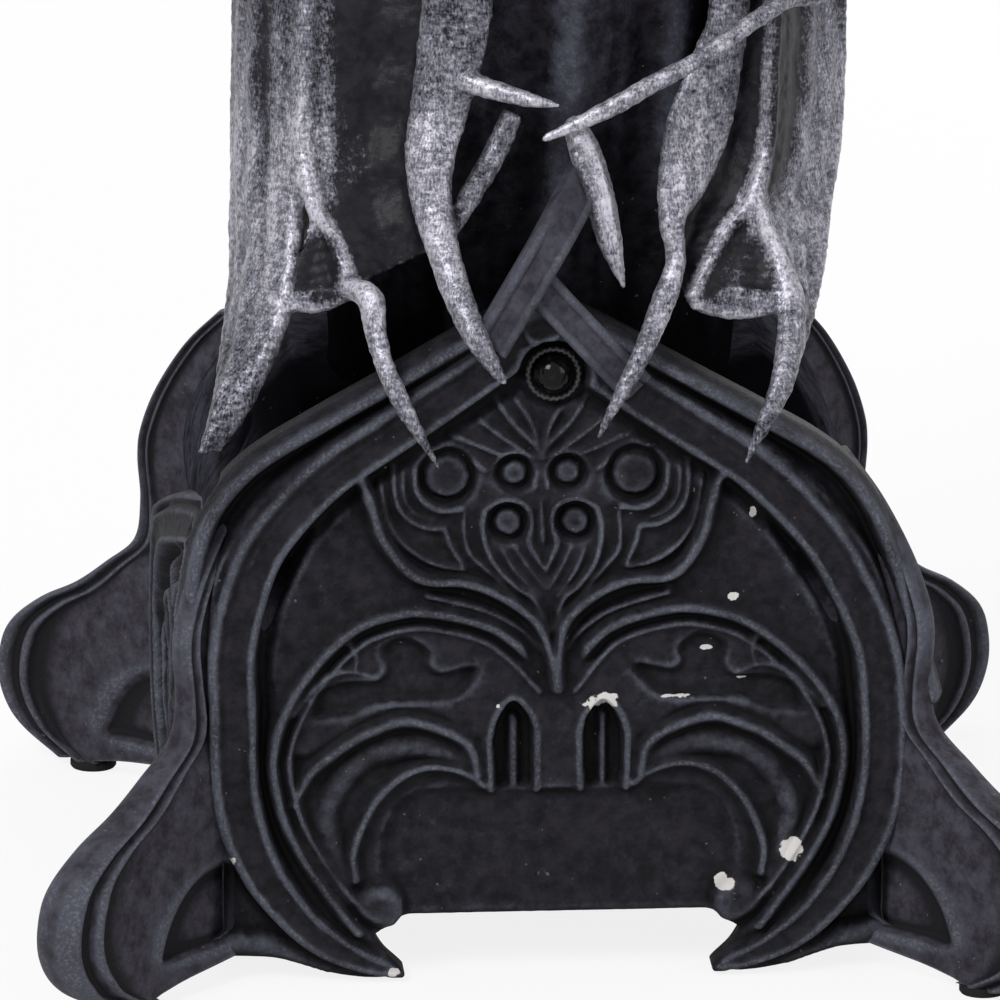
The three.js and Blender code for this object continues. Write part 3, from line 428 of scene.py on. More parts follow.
    def soften(self, rounds):
        """Rounds off the steps between neighbouring points."""
        for _ in range(rounds):
            around = sum(np.roll(self.height, shift, axis) for shift in (1, -1) for axis in (0, 1))
            self.height = 0.5 * self.height + 0.125 * around

    def mesh(self, ground, back):
        """Points (u, v, w) and faces of the relief with its rim and back."""
        inside = inside_of(self.outline, self.plain_u, self.v)
        any_in = inside[:-1, :-1] | inside[:-1, 1:] | inside[1:, :-1] | inside[1:, 1:]
        rows, columns = inside.shape
        i, j = np.nonzero(any_in)
        corner = i * columns + j
        cells = np.stack([corner, corner + 1, corner + columns + 1, corner + columns], 1)
        flat = np.stack([self.plain_u.ravel(), self.v.ravel()], 1)
        used = np.unique(cells)
        stray = used[~inside.ravel()[used]]
        flat[stray] = nearest_on(self.outline, flat[stray])[0]
        points = np.column_stack([flat[used], ground + self.height.ravel()[used]])
        renumber = np.zeros(rows * columns, int)
        renumber[used] = np.arange(len(used))
        faces = renumber[cells]
        return self.closed(points, faces, back)

    def closed(self, points, faces, back):
        """The relief with a rim round its edge and a flat back."""
        edges = np.concatenate([faces[:, [k, (k + 1) % 4]] for k in range(4)])
        count = len(points)
        codes = edges[:, 0] * count + edges[:, 1]
        rim = edges[~np.isin(codes, edges[:, 1] * count + edges[:, 0])]
        follow = {int(a): int(b) for a, b in rim}
        polygons = faces.tolist()
        extra = []
        while follow:
            loop = [next(iter(follow))]
            while loop[-1] in follow:
                loop.append(follow.pop(loop[-1]))
            loop.pop()
            start = count + len(extra)
            for u, v, _ in points[loop]:
                extra.append([math.copysign(min(abs(u), back + MITRE), u), v, back])
            for k in range(len(loop)):
                after = (k + 1) % len(loop)
                polygons.append([loop[after], loop[k], start + k, start + after])
            polygons.append(list(range(start, start + len(loop)))[::-1])
        return np.vstack([points, extra]), polygons


def on_face(points, turn):
    """Face coordinates (u, v, w) of a face turned about Z, as places."""
    u, v, w = np.asarray(points, float).T
    return turned(np.column_stack([u, -w, v]), turn)


# Materials

RUBBED_GREY = (0.062, 0.066, 0.085, 1)     # paint rubbed on the ridges
GLINT_GREY = (0.24, 0.25, 0.29, 1)         # painted glints: highlights painted on the brightest grains of the rub
CHIP_WHITE = (0.56, 0.54, 0.53, 1)         # the cast under the black
THIN_SILVER = (0.11, 0.11, 0.135, 1)
THICK_SILVER = (0.48, 0.47, 0.53, 1)
WAX_TONES = ((0.72, 0.70, 0.62, 1), (0.80, 0.78, 0.71, 1))
COTTON_TONES = ((0.62, 0.57, 0.46, 1), (0.80, 0.76, 0.66, 1))


class Shader:
    """The nodes of a material or world, with short ways to add and link them."""

    def __init__(self, owner, surface="Principled BSDF"):
        owner.use_nodes = True
        self.owner = owner
        self.tree = owner.node_tree
        self.surface = self.tree.nodes[surface]

    def node(self, kind, values=(), **settings):
        made = self.tree.nodes.new(kind)
        for name, value in settings.items():
            setattr(made, name, value)
        for name, value in dict(values).items():
            self.put(value, made.inputs[name])
        return made

    def put(self, value, socket):
        if isinstance(value, bpy.types.NodeSocket):
            self.tree.links.new(value, socket)
        else:
            socket.default_value = value

    def set(self, **values):
        for name, value in values.items():
            self.put(value, self.surface.inputs[name.replace("_", " ").title().replace("Ior", "IOR")])

    def noise(self, scale, detail=3, roughness=0.55):
        """Noise on the piece's own places; three scales stretch it along the axes."""
        place = self.node("ShaderNodeTexCoord").outputs["Object"]
        if isinstance(scale, tuple):
            place = self.node("ShaderNodeMapping", {"Vector": place, "Scale": scale}).outputs["Vector"]
            scale = 1.0
        values = {"Vector": place, "Scale": scale, "Detail": detail, "Roughness": roughness}
        return self.node("ShaderNodeTexNoise", values).outputs["Fac"]

    def swing(self, value, amount):
        """A noise value as a swing about zero."""
        return self.math("MULTIPLY", self.math("SUBTRACT", value, 0.5), amount)

    def attribute(self, name):
        return self.node("ShaderNodeAttribute", attribute_name=name).outputs["Fac"]

    def math(self, operation, a, b):
        made = self.node("ShaderNodeMath", operation=operation)
        self.put(a, made.inputs[0])
        self.put(b, made.inputs[1])
        return made.outputs[0]

    def between(self, value, low, high):
        """0 below low, 1 above high and smooth between them."""
        made = self.node("ShaderNodeMapRange", {"Value": value, "From Min": low, "From Max": high},
                         interpolation_type="SMOOTHSTEP")
        return made.outputs["Result"]

    def mix(self, share, first, second):
        made = self.node("ShaderNodeMix", data_type="RGBA")
        self.put(share, made.inputs["Factor"])
        self.put(first, made.inputs[6])
        self.put(second, made.inputs[7])
        return made.outputs[2]

    def bump(self, height, distance_mm, strength=1.0):
        values = {"Height": height, "Distance": distance_mm * MM, "Strength": strength}
        made = self.node("ShaderNodeBump", values)
        self.put(made.outputs["Normal"], self.surface.inputs["Normal"])


def grey(value, blue=1.0):
    return (value, value, value * blue, 1)


def violet(value):
    """A black with the faint violet tint of the casting."""
    return (value, value * 0.92, value * 1.2, 1)


def new_material(name):
    return Shader(bpy.data.materials.new(name))


def mottled(s, dark, light):
    """The cloudy black of the bare casting."""
    return s.mix(s.between(s.noise(520, 6, 0.7), 0.3, 0.7), violet(dark), violet(light))


def black_resin(name, specular, depth):
    """Satin black cast resin, its ridges rubbed with blue-grey and painted glints, painted shade in its
    hollows, and its chips bare.
    """
    s = new_material(name)
    grain = s.noise(2600, 6, 0.7)
    patch = s.noise(120, 3)
    relief = s.attribute("ridge")
    uneven = s.math("ADD", s.swing(grain, 0.16), s.swing(s.noise(620, 5, 0.65), 0.4))
    lifted = s.math("ADD", relief, uneven)
    rubbed = s.math("MULTIPLY", s.between(lifted, 0.0, 0.26), s.between(patch, 0.1, 0.75))
    ground = mottled(s, depth * 0.4, depth * 1.5)
    # Painted shade: the ground turns near black where the ridge value drops below zero, in hollows and
    # wherever a piece lowers the value for shade.
    ground = s.mix(s.between(relief, -0.3, 0.0), violet(depth * 0.2), ground)
    colour = s.mix(rubbed, ground, RUBBED_GREY)
    # Painted highlights: glint grey painted on the highest, brightest grains of the rubbed ridges.
    glint = s.math("MULTIPLY", s.between(lifted, 0.14, 0.34), s.between(grain, 0.42, 0.75))
    colour = s.mix(s.math("MULTIPLY", glint, 0.4), colour, GLINT_GREY)
    specks = s.between(s.noise(1100, 2), 0.735, 0.77)
    colour = s.mix(s.math("MULTIPLY", specks, 0.5), colour, grey(0.16))
    ragged = s.swing(s.noise(900, 4), 1.6)
    chips = s.between(s.math("ADD", s.attribute("chip"), ragged), 0.55, 0.7)
    colour = s.mix(chips, colour, CHIP_WHITE)
    s.set(base_color=colour, roughness=s.between(grain, -0.9, 1.3), specular_ior_level=specular)
    s.bump(s.noise(1700, 5, 0.65), 0.14, 0.8)
    return s.owner


def silvered_resin():
    """Black resin with silver paint brushed thinly along the raised fingers."""
    s = new_material("silvered_resin")
    along = s.noise((420, 420, 120), 5, 0.65)
    across = s.noise((850, 850, 2300), 5, 0.65)
    fine = s.noise((4200, 4200, 1900), 3, 0.65)
    silver = s.math("ADD", s.attribute("silver"), s.math("MULTIPLY", s.attribute("ridge"), 1.2))
    uneven = s.math("ADD", s.swing(along, 1.2), s.swing(across, 1.3))
    uneven = s.math("ADD", uneven, s.swing(fine, 1.7))
    painted = s.between(silver, 0.0, 0.35)
    reach = s.node("ShaderNodeMapRange", {"Value": painted, "To Min": 0.35, "To Max": 1.0})
    worn = s.math("ADD", silver, s.math("MULTIPLY", uneven, reach.outputs["Result"]))
    paint = s.between(worn, 0.15, 0.6)
    colour = s.mix(paint, mottled(s, 0.006, 0.018), THIN_SILVER)
    colour = s.mix(s.between(worn, 0.5, 1.3), colour, THICK_SILVER)
    s.set(base_color=colour, roughness=0.36, metallic=s.math("MULTIPLY", paint, 0.35),
          specular_ior_level=0.1)
    s.bump(s.math("ADD", fine, across), 0.08, 0.6)
    return s.owner


def black_stone():
    """Polished black glass stone with faint veins."""
    s = new_material("black_stone")
    veins = s.between(s.noise(700, 4), 0.5, 0.8)
    s.set(base_color=s.mix(veins, grey(0.002), grey(0.012)), roughness=0.08, specular_ior_level=0.14)
    return s.owner


def aged_silver():
    """Silvered metal of the stone's bezel, dark in its hollows."""
    s = new_material("aged_silver")
    uneven = s.math("MULTIPLY", s.noise(1400, 4), 0.12)
    tone = s.between(s.math("ADD", s.attribute("ridge"), uneven), 0.02, 0.14)
    s.set(base_color=s.mix(tone, grey(0.006), grey(0.06, 1.1)), roughness=0.5, specular_ior_level=0.2)
    s.bump(s.noise(1600, 3), 0.05, 0.4)
    return s.owner


def felt():
    """Black felt, fuzzy and dull."""
    s = new_material("felt")
    fuzz = s.mix(s.noise(2600, 6, 0.8), grey(0.004), grey(0.03))
    s.set(base_color=fuzz, roughness=0.95, specular_ior_level=0.1)
    s.bump(s.noise(3200, 5), 0.2, 0.9)
    return s.owner


def brushed_metal(name, bright, roughness, scale):
    """Bare metal with fine turning marks round the axis."""
    s = new_material(name)
    lines = s.noise((60, 60, scale), 4, 0.5)
    s.set(base_color=s.mix(lines, grey(bright * 0.8), grey(bright)), metallic=1.0,
          roughness=s.between(lines, -roughness * 2, 2.4 - roughness))
    s.bump(lines, 0.02, 0.4)
    return s.owner


def candle_wax():
    """White wax, faintly mottled, that lets a little light in."""
    s = new_material("candle_wax")
    s.set(base_color=s.mix(s.noise(130, 5), *WAX_TONES), roughness=0.5,
          subsurface_weight=0.25, subsurface_scale=0.002, specular_ior_level=0.35)
    s.bump(s.noise(220, 4), 0.15, 0.4)
    return s.owner


def wick_cotton():
    """Waxed cotton cord, a little yellow."""
    s = new_material("wick_cotton")
    s.set(base_color=s.mix(s.noise(2200, 5), *COTTON_TONES), roughness=0.85)
    s.bump(s.noise(2600, 4), 0.1, 0.8)
    return s.owner


RESIN = black_resin("black_resin", 0.1, 0.012)
# Painted light: a lighter copy of the black resin, its ground brighter as if more strongly lit, for the
# feet and the crossing ribs.
RESIN_PAINTED_LIT = black_resin("resin_painted_lit", 0.12, 0.036)
DULL_RESIN = black_resin("dull_resin", 0.0, 0.014)
SILVERED = silvered_resin()
STONE = black_stone()
BEZEL = aged_silver()
FELT = felt()
STEEL = brushed_metal("brushed_steel", 0.55, 0.34, 4000)
ALUMINIUM = brushed_metal("thin_aluminium", 0.8, 0.28, 2500)
WAX = candle_wax()
COTTON = wick_cotton()


# Tracery: right halves of the lines on a face, as (u, v)

BAND_SECTION = [(-2.85, 0), (-2.7, 1.8), (-2.25, 3.1), (-1.8, 2.8), (-1.4, 2.3), (-0.2, 2.2),
                (0.5, 2.5), (0.8, 2.25), (1.15, 2.7), (1.75, 3.15), (2.35, 2.9), (2.65, 1.9), (2.8, 0)]
BAND_TAPER = (0.25, 0.65, 0.85, 1, 1, 1, 1, 1, 1, 1, 0.95, 0.9)
FRONT_BAND = [(16.8, 0.9), (20.5, 2.1), (24, 3.9), (27.2, 6.3), (29.7, 9.2), (31.8, 12.3), (33.6, 16.3),
              (34.6, 20), (35.1, 24), (35.1, 31), (34.6, 38), (31.4, 47), (27.8, 52.2), (22.6, 57.4),
              (16.2, 61.8), (6.2, 68.6), (0, 73.2)]
FRONT_RIB = [(40.4, 31), (39.4, 36), (38.6, 41), (37.6, 46.4), (35.6, 52.2), (32.6, 56.4), (29.2, 59.2),
             (25.2, 61.6), (21, 64), (16, 66.8), (8, 71.4), (0, 75.6)]
FRONT_THIN_RIB = [(37.4, 31), (36.8, 39.6), (35.2, 46.1), (32.4, 51), (28.8, 55.4), (22.4, 60.6),
                  (12, 67.2)]
SUB_ARCH = [(0.4, 33.6), (3.4, 37.2), (6.3, 39.6), (10.3, 41), (14.8, 41.6), (19.5, 40.6), (22.6, 38.8),
            (25.9, 35.7), (29.2, 31), (30.9, 25.6), (30.2, 20), (28.6, 15.8), (25.4, 10.4), (21.6, 5.8)]
UPPER_LINE = [(13, 43.2), (9.6, 42.3), (6.1, 41.1), (3.1, 39.1), (1.4, 37.2)]
ARC_TWO = [(8.8, 23.2), (9.6, 26.4), (12.4, 28.3), (16.5, 29.4), (20, 28.4), (22.9, 26.9), (26.5, 24),
           (28.6, 20)]
ARC_DIM = [(9, 23.4), (11, 24.9), (14.9, 26.2), (19.3, 25.7), (22.3, 23.9), (24.6, 20.2), (24.9, 17),
           (23.2, 11.5)]
ARC_THREE = [(7.9, 21.7), (9.1, 22.9), (11.5, 23.9), (14.4, 24.1), (17.2, 22.9), (19.7, 20.4),
             (21.3, 17.4), (22.2, 14.3), (21.9, 11.6)]
ARC_FOUR = [(27.9, 21.5), (27.4, 16.5), (25.2, 12.2), (22.6, 9)]
CUSP_LINE = [(28.6, 30.4), (25.9, 33.6), (23.6, 34.9), (21.6, 35), (19, 33.9)]
CUSP_SPUR = [(22.4, 38.6), (21.3, 37), (21.6, 35)]
SPANDREL = [(0.4, 31.6), (3.4, 35.4), (6.3, 37.8), (10.3, 39.2), (14.8, 39.8), (19, 38.8), (22, 37),
            (25, 34.2), (28.2, 29.8), (29.2, 26.6), (27, 25.4), (23, 27.8), (20, 29.4), (16.5, 30.4),
            (12.4, 29.4), (9, 27)]
PIER = [(-3, 21), (8.7, 21), (8.5, 28), (7.4, 31.6), (4.8, 33.4), (0.4, 33.4), (-3, 33)]
PLATE = [(-3, 4), (15.6, 4), (17.4, 9.6), (18.9, 12), (18.9, 16), (17.4, 19.4), (15.2, 21.1),
         (9.4, 21.4), (-3, 20.9)]
TREFOIL = [(26.4, 29.8), (22.5, 30.2), (19.5, 31.4), (11.5, 31.8), (8.6, 34.4), (9.2, 35.1),
           (12.4, 34.4), (13.8, 35.4), (13.6, 37), (15.9, 38.5), (18.4, 37.4), (18, 35.2), (19.2, 33.7),
           (22.8, 33.6), (25.5, 32.6)]
LANCET = [(2.4, 21.3), (2.3, 25), (2.4, 28.4), (3.3, 30.4), (4.8, 31.7), (6.3, 30.4), (7.3, 28),
          (7.4, 25), (7.3, 21.3)]
LEAF_SLOT = [(24.6, 50.6), (26.6, 48.5), (28.6, 46), (30.3, 42.4), (31.4, 38.9), (28.4, 43.2), (26, 47.4)]
HEART = [(0, 32.9), (0.3, 36), (1.2, 39.6), (3, 41.8), (6, 43.8), (9.1, 44.9), (12.9, 45.2),
         (15.1, 46.7), (17.3, 50.2), (18.2, 53.4), (19.6, 57.2)]
HEART_FIELD = [*HEART, (17, 61), (10, 65.4), (4, 67), (-3, 67), (-3, 34)]
HEART_VEINS = [                      # line, half-width and rise
    ([(17.3, 56), (16.5, 51.8), (15.1, 49.3), (13.1, 47.6), (11, 46.6), (8.7, 46.2)], 0.55, 1.9),
    ([(15.9, 57.6), (15.6, 54), (14.4, 52), (12.4, 50.9), (10.5, 50.7), (10.1, 49.2), (8.7, 46.4)],
     0.5, 1.9),
    ([(14.9, 57.6), (14.7, 54.2), (13.4, 52.3), (11.6, 51.6)], 0.4, 1.6),
    ([(13.6, 57.4), (13.2, 54.8), (12, 53.4), (10.7, 52.8), (8.6, 52.9)], 0.6, 2.0),
    ([(12.4, 59.7), (10.9, 59.3), (7.8, 58.2), (6, 57.1)], 0.5, 1.8),
    ([(6, 52.7), (4.4, 53.5), (2.1, 53.4), (1.2, 52), (1.5, 49), (0.9, 47.6), (0, 45.8)], 0.5, 1.9),
    ([(6, 52.7), (6.4, 50.8), (6.1, 48.6), (5.2, 46.4), (3.3, 44.1), (1.6, 42.7), (0.1, 39.1)], 0.55, 1.9),
    ([(8.3, 52.4), (8.4, 50.3), (8, 48), (6.2, 46), (3.6, 43.1), (1.5, 41.2)], 0.45, 1.7),
    ([(4.5, 48.3), (3.2, 45.8), (0.8, 42.8)], 0.4, 1.6),
    ([(3.2, 48.8), (1.9, 46.5), (0.2, 43.8)], 0.35, 1.5),
    ([(4.9, 57), (4.3, 58.5), (2.9, 59), (1.7, 58.6), (0.9, 57.4), (0.7, 55)], 0.45, 1.7),
    ([(9.9, 61.2), (7.6, 60.3), (5.2, 59.2), (3.6, 58.7)], 0.45, 1.7),
    ([(0, 53.6), (0, 51.4), (0, 49)], 0.4, 1.8),
    ([(0, 58.4), (1, 60.2), (3.1, 62.4), (4.9, 65)], 0.45, 1.8),
    ([(0, 58.4), (0.5, 60.6), (1.2, 62.6), (2.8, 65)], 0.4, 1.7),
    ([(0.2, 58.2), (3.4, 60.2), (6.8, 62.8)], 0.4, 1.6)]
BOSSES = [(10.1, 56.4, 2.4), (2.85, 56.7, 1.35), (3.6, 51.2, 1.5)]     # u, v and radius
CUSP_KNOB = (19.4, 8.4, 2.7)
KNOB_EDGE = [(17, 7.1), (18.1, 5.9), (19.9, 5)]
HOOK_EDGE = [(19.9, 5), (18.7, 3.1), (16.6, 0.9), (18.2, 0.4), (20.5, 0.3), (24, 0.8), (27.3, 1.8),
             (30.5, 2.7), (34.5, 3.0), (37.6, 3.0), (38.2, 5), (38.2, 14), (38.2, 22), (38.3, 29)]
WEB_HOLLOW = [(27.6, 4.6), (30.6, 7.8), (32.6, 11), (34.6, 15.4), (35.6, 19), (36.2, 24), (39, 24),
              (39, 5.6), (36, 5.4), (33, 5.2), (30.4, 4.5)]
LIP = [(25, 1.6), (28, 2.9), (31, 3.9), (34.5, 4.3), (38.2, 4.2)]
SIDE_BAND = FRONT_BAND[:8] + [(33.6, 25), (30.4, 30.6), (25, 35), (17.4, 38.6), (9, 41.6), (0, 44.2)]
SIDE_RIB = [(38.6, 30), (36.6, 31.4), (33, 34.4), (27.2, 38.4), (19, 42), (10, 45), (0, 48)]
FRONT_RIB_HALF, SIDE_RIB_HALF = 1.2, 1.1     # half-width of the rib where it makes the panel's edge
MULLION = (4.85, 21.4, 29)                   # place across, foot and top of the bar in a lancet
SQUASH_FROM, SQUASH = 24.0, 0.83             # above this height a side face is pressed to this share
LEAN_FROM, LEAN = 35.0, 0.45                 # and above this one it leans in by this share
TILT_FROM, TILT_OVER = 28, 26                # heights over which the front tracery's middle line shifts
TILT_LOW, TILT_SHIFT = 0.6, 1.9              # its place below them, and how far it shifts to the left
GEM_SEAT = 3.5                               # radius of the flat spot behind the stone

# Bare chips seen in the photograph: place on the front face and half sizes
CHIPS = [(5.2, 31.1, 1.9, 1.0), (19.4, 42.4, 0.7, 0.4), (21.6, 51.5, 0.4, 0.5), (13.4, 31.5, 1.9, 0.2),
         (25.7, 14.2, 1.2, 1.2), (18.5, 10.3, 1.0, 0.7), (-17.2, 1.2, 0.6, 0.5),
         (-34.6, 14.4, 0.3, 0.6), (16.6, 36.6, 0.7, 0.3), (20.4, 33.2, 0.6, 0.2),
         (-5.9, 30.8, 0.3, 0.3)]


def front_lean(v):
    """How far the hand-cut tracery leans off the middle line at a height."""
    return TILT_LOW - TILT_SHIFT * smoothstep((v - TILT_FROM) / TILT_OVER)


def no_lean(v):
    return np.zeros_like(v)


def outline_of(rib, rib_half, lean):
    """Both halves of a panel's edge: plain bottom, knob, hook, the band's outside and the gable's rib."""
    gable = offset(spline(rib, 0.8), -rib_half)
    gable[-1, 0] = 0
    half = np.vstack([[(0, PLATE_BOTTOM)], spline(KNOB_EDGE, 0.5), spline(HOOK_EDGE, 0.5)[1:], gable])
    left = mirrored(half[1:-1])[::-1]
    edge = np.vstack([half, left])
    edge[:, 0] += lean(edge[:, 1])
    return edge


def draw_lower(relief):
    """The tracery that all four faces share, under the arch."""
    relief.level(WEB_HOLLOW, -1.5, 0.7)
    relief.bead(spline(LIP), 0.9, 0.6, skirt=1.4)
    relief.level(spline(SPANDREL + SPANDREL[:1]), 1.0, 0.8)
    relief.level(PIER, 1.0, 0.5)
    relief.bead(spline(ARC_DIM), 1.5, 1.3, skirt=1.7)
    relief.bead(spline(ARC_FOUR), 0.9, 1.3, (0.2, 1, 0.6), skirt=2)
    relief.bead(spline(ARC_TWO), 1.0, 2.1, (1, 1, 1, 1, 0.5), skirt=2.4)
    relief.bead(spline(ARC_THREE), 0.65, 1.9, skirt=2.2)
    relief.level(PLATE, -0.9, 0.6)
    relief.bead(spline(SUB_ARCH), 0.9, 2.5, skirt=3)
    relief.bead(offset(spline(SUB_ARCH), -1.9), 0.5, 1.8, skirt=1.8)
    relief.bead(spline(CUSP_LINE), 0.7, 1.9, (1, 1, 0.5), skirt=1.6)
    relief.bead(spline(CUSP_SPUR), 0.45, 1.7, skirt=1.6)
    relief.level(spline(TREFOIL + TREFOIL[:1]), -0.3, 0.4)
    relief.level(spline(LANCET), -1.7, 0.4)
    relief.bead(spline(LANCET), 0.5, 1.7)
    across, foot, top = MULLION
    for side in (1, -1):
        bar = np.hypot(relief.u - side * across, np.maximum(relief.v - top, 0)) < 0.45
        relief.raise_to(bar & (relief.v > foot), -0.6)
    relief.boss(*CUSP_KNOB, 1.8, 0.3)


def draw_heart(relief):
    """The heart with its bosses and veins in the front gable."""
    relief.level(HEART_FIELD, 0.7, 0.6)
    relief.bead(spline(UPPER_LINE), 0.5, 1.5, skirt=2)
    relief.bead(spline(HEART), 0.85, 2.9, (1.1, 1, 1, 1.2, 1), skirt=2.2)
    for vein, half_width, rise in HEART_VEINS:
        relief.bead(spline(vein), half_width, rise, (0.7, 1, 1, 0.8), skirt=1.9)
    for u, v, radius in BOSSES:
        relief.moat(u, v, radius + 0.75, -0.5, 0.5)
        relief.boss(u, v, radius, 0.6, 0.9)
    relief.level(spline(LEAF_SLOT + LEAF_SLOT[:1]), -1.4, 0.4)


def draw_frame(relief, band, rib, thin_rib):
    """The broad band and the ribs that frame a face."""
    relief.groove(offset(spline(band), 3.7), 1.1, 0.9)
    relief.groove(offset(spline(rib), 1.6), 0.9, 0.7)
    relief.bead(spline(rib), 1.15, 3.0)
    if thin_rib:
        relief.bead(spline(thin_rib), 0.5, 1.9)
    relief.moulding(spline(band), BAND_SECTION, BAND_TAPER)


def chip_mask(points):
    """1 in the chips of the front face, falling to 0 round them."""
    mask = np.zeros(len(points))
    for u, v, half_u, half_v in CHIPS:
        away = np.hypot((points[:, 0] - u) / half_u, (points[:, 1] - v) / half_v)
        mask = np.maximum(mask, np.clip(1.6 - away, 0, 1))
    return mask


def quiet_rim(mesh, outline, points):
    """Takes the rubbed paint off a panel's cut edge and back."""
    _, gaps = nearest_on(outline, points[:, :2])
    set_attribute(mesh, "ridge", ridge_of(mesh) * smoothstep((gaps - 0.15) / 0.5))


def front_panel():
    """The front face: shared tracery, heart, frame, and a flat seat for the stone."""
    relief = Relief(outline_of(FRONT_RIB, FRONT_RIB_HALF, front_lean), FRONT_STEP, front_lean)
    draw_lower(relief)
    draw_heart(relief)
    draw_frame(relief, FRONT_BAND, FRONT_RIB, FRONT_THIN_RIB)
    gem_z = (GEM_LOW[2] + GEM_HIGH[2]) / 2
    seat = smoothstep((np.hypot(relief.plain_u, relief.v - gem_z) - GEM_SEAT) / 0.5)
    relief.height = np.minimum(relief.height, 0) * (1 - seat) + relief.height * seat
    relief.soften(2)
    relief.grain(CAST_GRAIN, 3)
    points, faces = relief.mesh(GROUND, PANEL_BACK)
    made = piece("front_tracery", on_face(points, 0), faces, RESIN, ["front_arch_panel"],
                 ridge_rounds=12, gain=0.75)
    quiet_rim(made.data, relief.outline, points)
    set_attribute(made.data, "chip", chip_mask(points))


def side_panels():
    """One lower face without the heart, used on the other three sides."""
    relief = Relief(outline_of(SIDE_RIB, SIDE_RIB_HALF, no_lean), SIDE_STEP, no_lean)
    draw_lower(relief)
    draw_frame(relief, SIDE_BAND, SIDE_RIB, None)
    relief.soften(3)
    relief.grain(CAST_GRAIN, 5)
    points, faces = relief.mesh(GROUND, PANEL_BACK)
    flat = points.copy()
    points[:, 1] -= (1 - SQUASH) * np.maximum(points[:, 1] - SQUASH_FROM, 0)
    points[:, 2] -= LEAN * np.maximum(points[:, 1] - LEAN_FROM, 0)
    for turn, name in enumerate(("right", "back", "left"), 1):
        made = piece(name + "_tracery", on_face(points, turn * math.pi / 2), faces, RESIN,
                     [name + "_arch_panel"], ridge_rounds=6, gain=0.75)
        quiet_rim(made.data, relief.outline, flat)


# Pedestal block, corner feet and pads

SHOULDER = [(BLOCK_LOW[2], 34), (32, 35), (38, 36), (42, 36), (47, 34.8), (52.6, 31.8), (56, 29.2),
            (BLOCK_HIGH[2], 25.4)]
BLOCK_CORNER = 1.2                   # rounding of the block's corners
BLOCK_UNEVEN = 0.25
DIMPLE_Z = 50.5                      # hollow over the middle of each side gable
DIMPLE_WIDE, DIMPLE_TALL, DIMPLE_DEEP = 7, 3.2, 1.8


def rounded_square(half, radius, per_side):
    """A ring of points round a square with rounded corners."""
    ring = []
    for quarter in range(4):
        turn = quarter * math.pi / 2
        side = [(half, y) for y in np.linspace(-half + radius, half - radius, per_side, endpoint=False)]
        corner = arc((half - radius, half - radius), radius, 0, 90, 6)[:-1]
        ring += [(x * math.cos(turn) - y * math.sin(turn), x * math.sin(turn) + y * math.cos(turn))
                 for x, y in side + corner]
    return np.array(ring)


def pedestal():
    """The block behind the panels, with a sloping shoulder, a hollow over each side gable, and painted
    shade under the wings and beside the column.
    """
    rings = []
    for z, half in spline(SHOULDER, 0.8):
        ring = rounded_square(half, BLOCK_CORNER, 40)
        swell = BLOCK_UNEVEN * np.array([noise.noise(Vector((x, y, z)) * 0.12) for x, y in ring])
        from_middle = np.abs(ring).min(1) / DIMPLE_WIDE
        swell -= DIMPLE_DEEP * np.exp(-from_middle ** 2 - ((z - DIMPLE_Z) / DIMPLE_TALL) ** 2)
        size = 1 + swell / np.linalg.norm(ring, axis=1)
        rings.append(np.column_stack([ring * size[:, None], np.full(len(ring), z)]))
    points = np.vstack(rings)
    made = piece("pedestal_dome", points, ring_faces(len(rings), len(rings[0])), DULL_RESIN,
                 ["pedestal_block"], ridge_rounds=12)
    x, y, z = points.T
    # Painted shade: the ridge value is lowered on the dome's front top and beside the column, under the
    # wings, so the resin's ground renders near black there.
    in_front = smoothstep((-y - 6) / 14)
    by_column = smoothstep((8 - y) / 10) * smoothstep((34 - abs(x)) / 5)
    wing_shade = np.maximum(in_front, by_column) * smoothstep((z - 40) / 6)
    ridge = np.clip(ridge_of(made.data), -0.1, 0.1)
    set_attribute(made.data, "ridge", ridge + 0.02 - 0.4 * wing_shade)


TOE = -FOOT_LOW[0] - 0.2             # farthest reach of a toe along X or Y
FOOT_TOP = FOOT_HIGH[2]

# Outer edge of a foot: reach along X and Y, and height
FOOT_EDGE = [(TOE - 6.4, 1.0), (TOE - 2.4, 4), (TOE - 0.5, 7.6), (TOE - 0.3, 11.5), (TOE - 1.4, 15.4),
             (TOE - 4.4, 18.8), (TOE - 8.2, 21.6), (TOE - 11.4, 24.8), (WAIST + 0.2, 28.4),
             (WAIST - 0.4, 33), (WAIST - 0.1, 38), (WAIST - 0.5, 41.6), (38.3, 46.6), (35.2, 52.4),
             (31.6, FOOT_TOP)]

# Section of its rib: shares of the rib's depth and half-width
RIB_SECTION = [(0.0, 0.0), (0.0, 0.35), (0.07, 0.66), (0.16, 0.88), (0.27, 0.96), (0.38, 0.84),
               (0.50, 0.64), (0.62, 0.66), (0.74, 0.88), (0.84, 1.0), (0.93, 0.98), (1.0, 0.8)]

# Rows of height and size: inner reach, the rib's half-width and depth, the fin's half-thickness
FOOT_INNER = [(1, 46), (2.2, 41.5), (3.0, 36), (4, 31), (36, 31), (42, 30), (50, 28), (FOOT_TOP, 24)]
FOOT_HALF_WIDTH = [(1, 2.6), (5, 3.1), (14, 3.1), (20, 2.6), (26, 1.9), (34, 1.4), (FOOT_TOP, 1.4)]
FOOT_RIB_DEPTH = [(1, 4.6), (5, 5.6), (14, 5.6), (20, 4.6), (26, 3.2), (34, 2.2), (FOOT_TOP, 2.0)]
FOOT_FIN = [(1, 2.0), (20, 1.9), (25, 1.7), (28, 1.0), (FOOT_TOP, 0.9)]

# Arched recess in each side of the fin: middle, half-length, height and depth
RECESS_MIDDLE, RECESS_REACH, RECESS_RISE, RECESS_DEEP = 36.8, 10.5, 12.2, 1.3
DIAGONAL = math.sqrt(2)


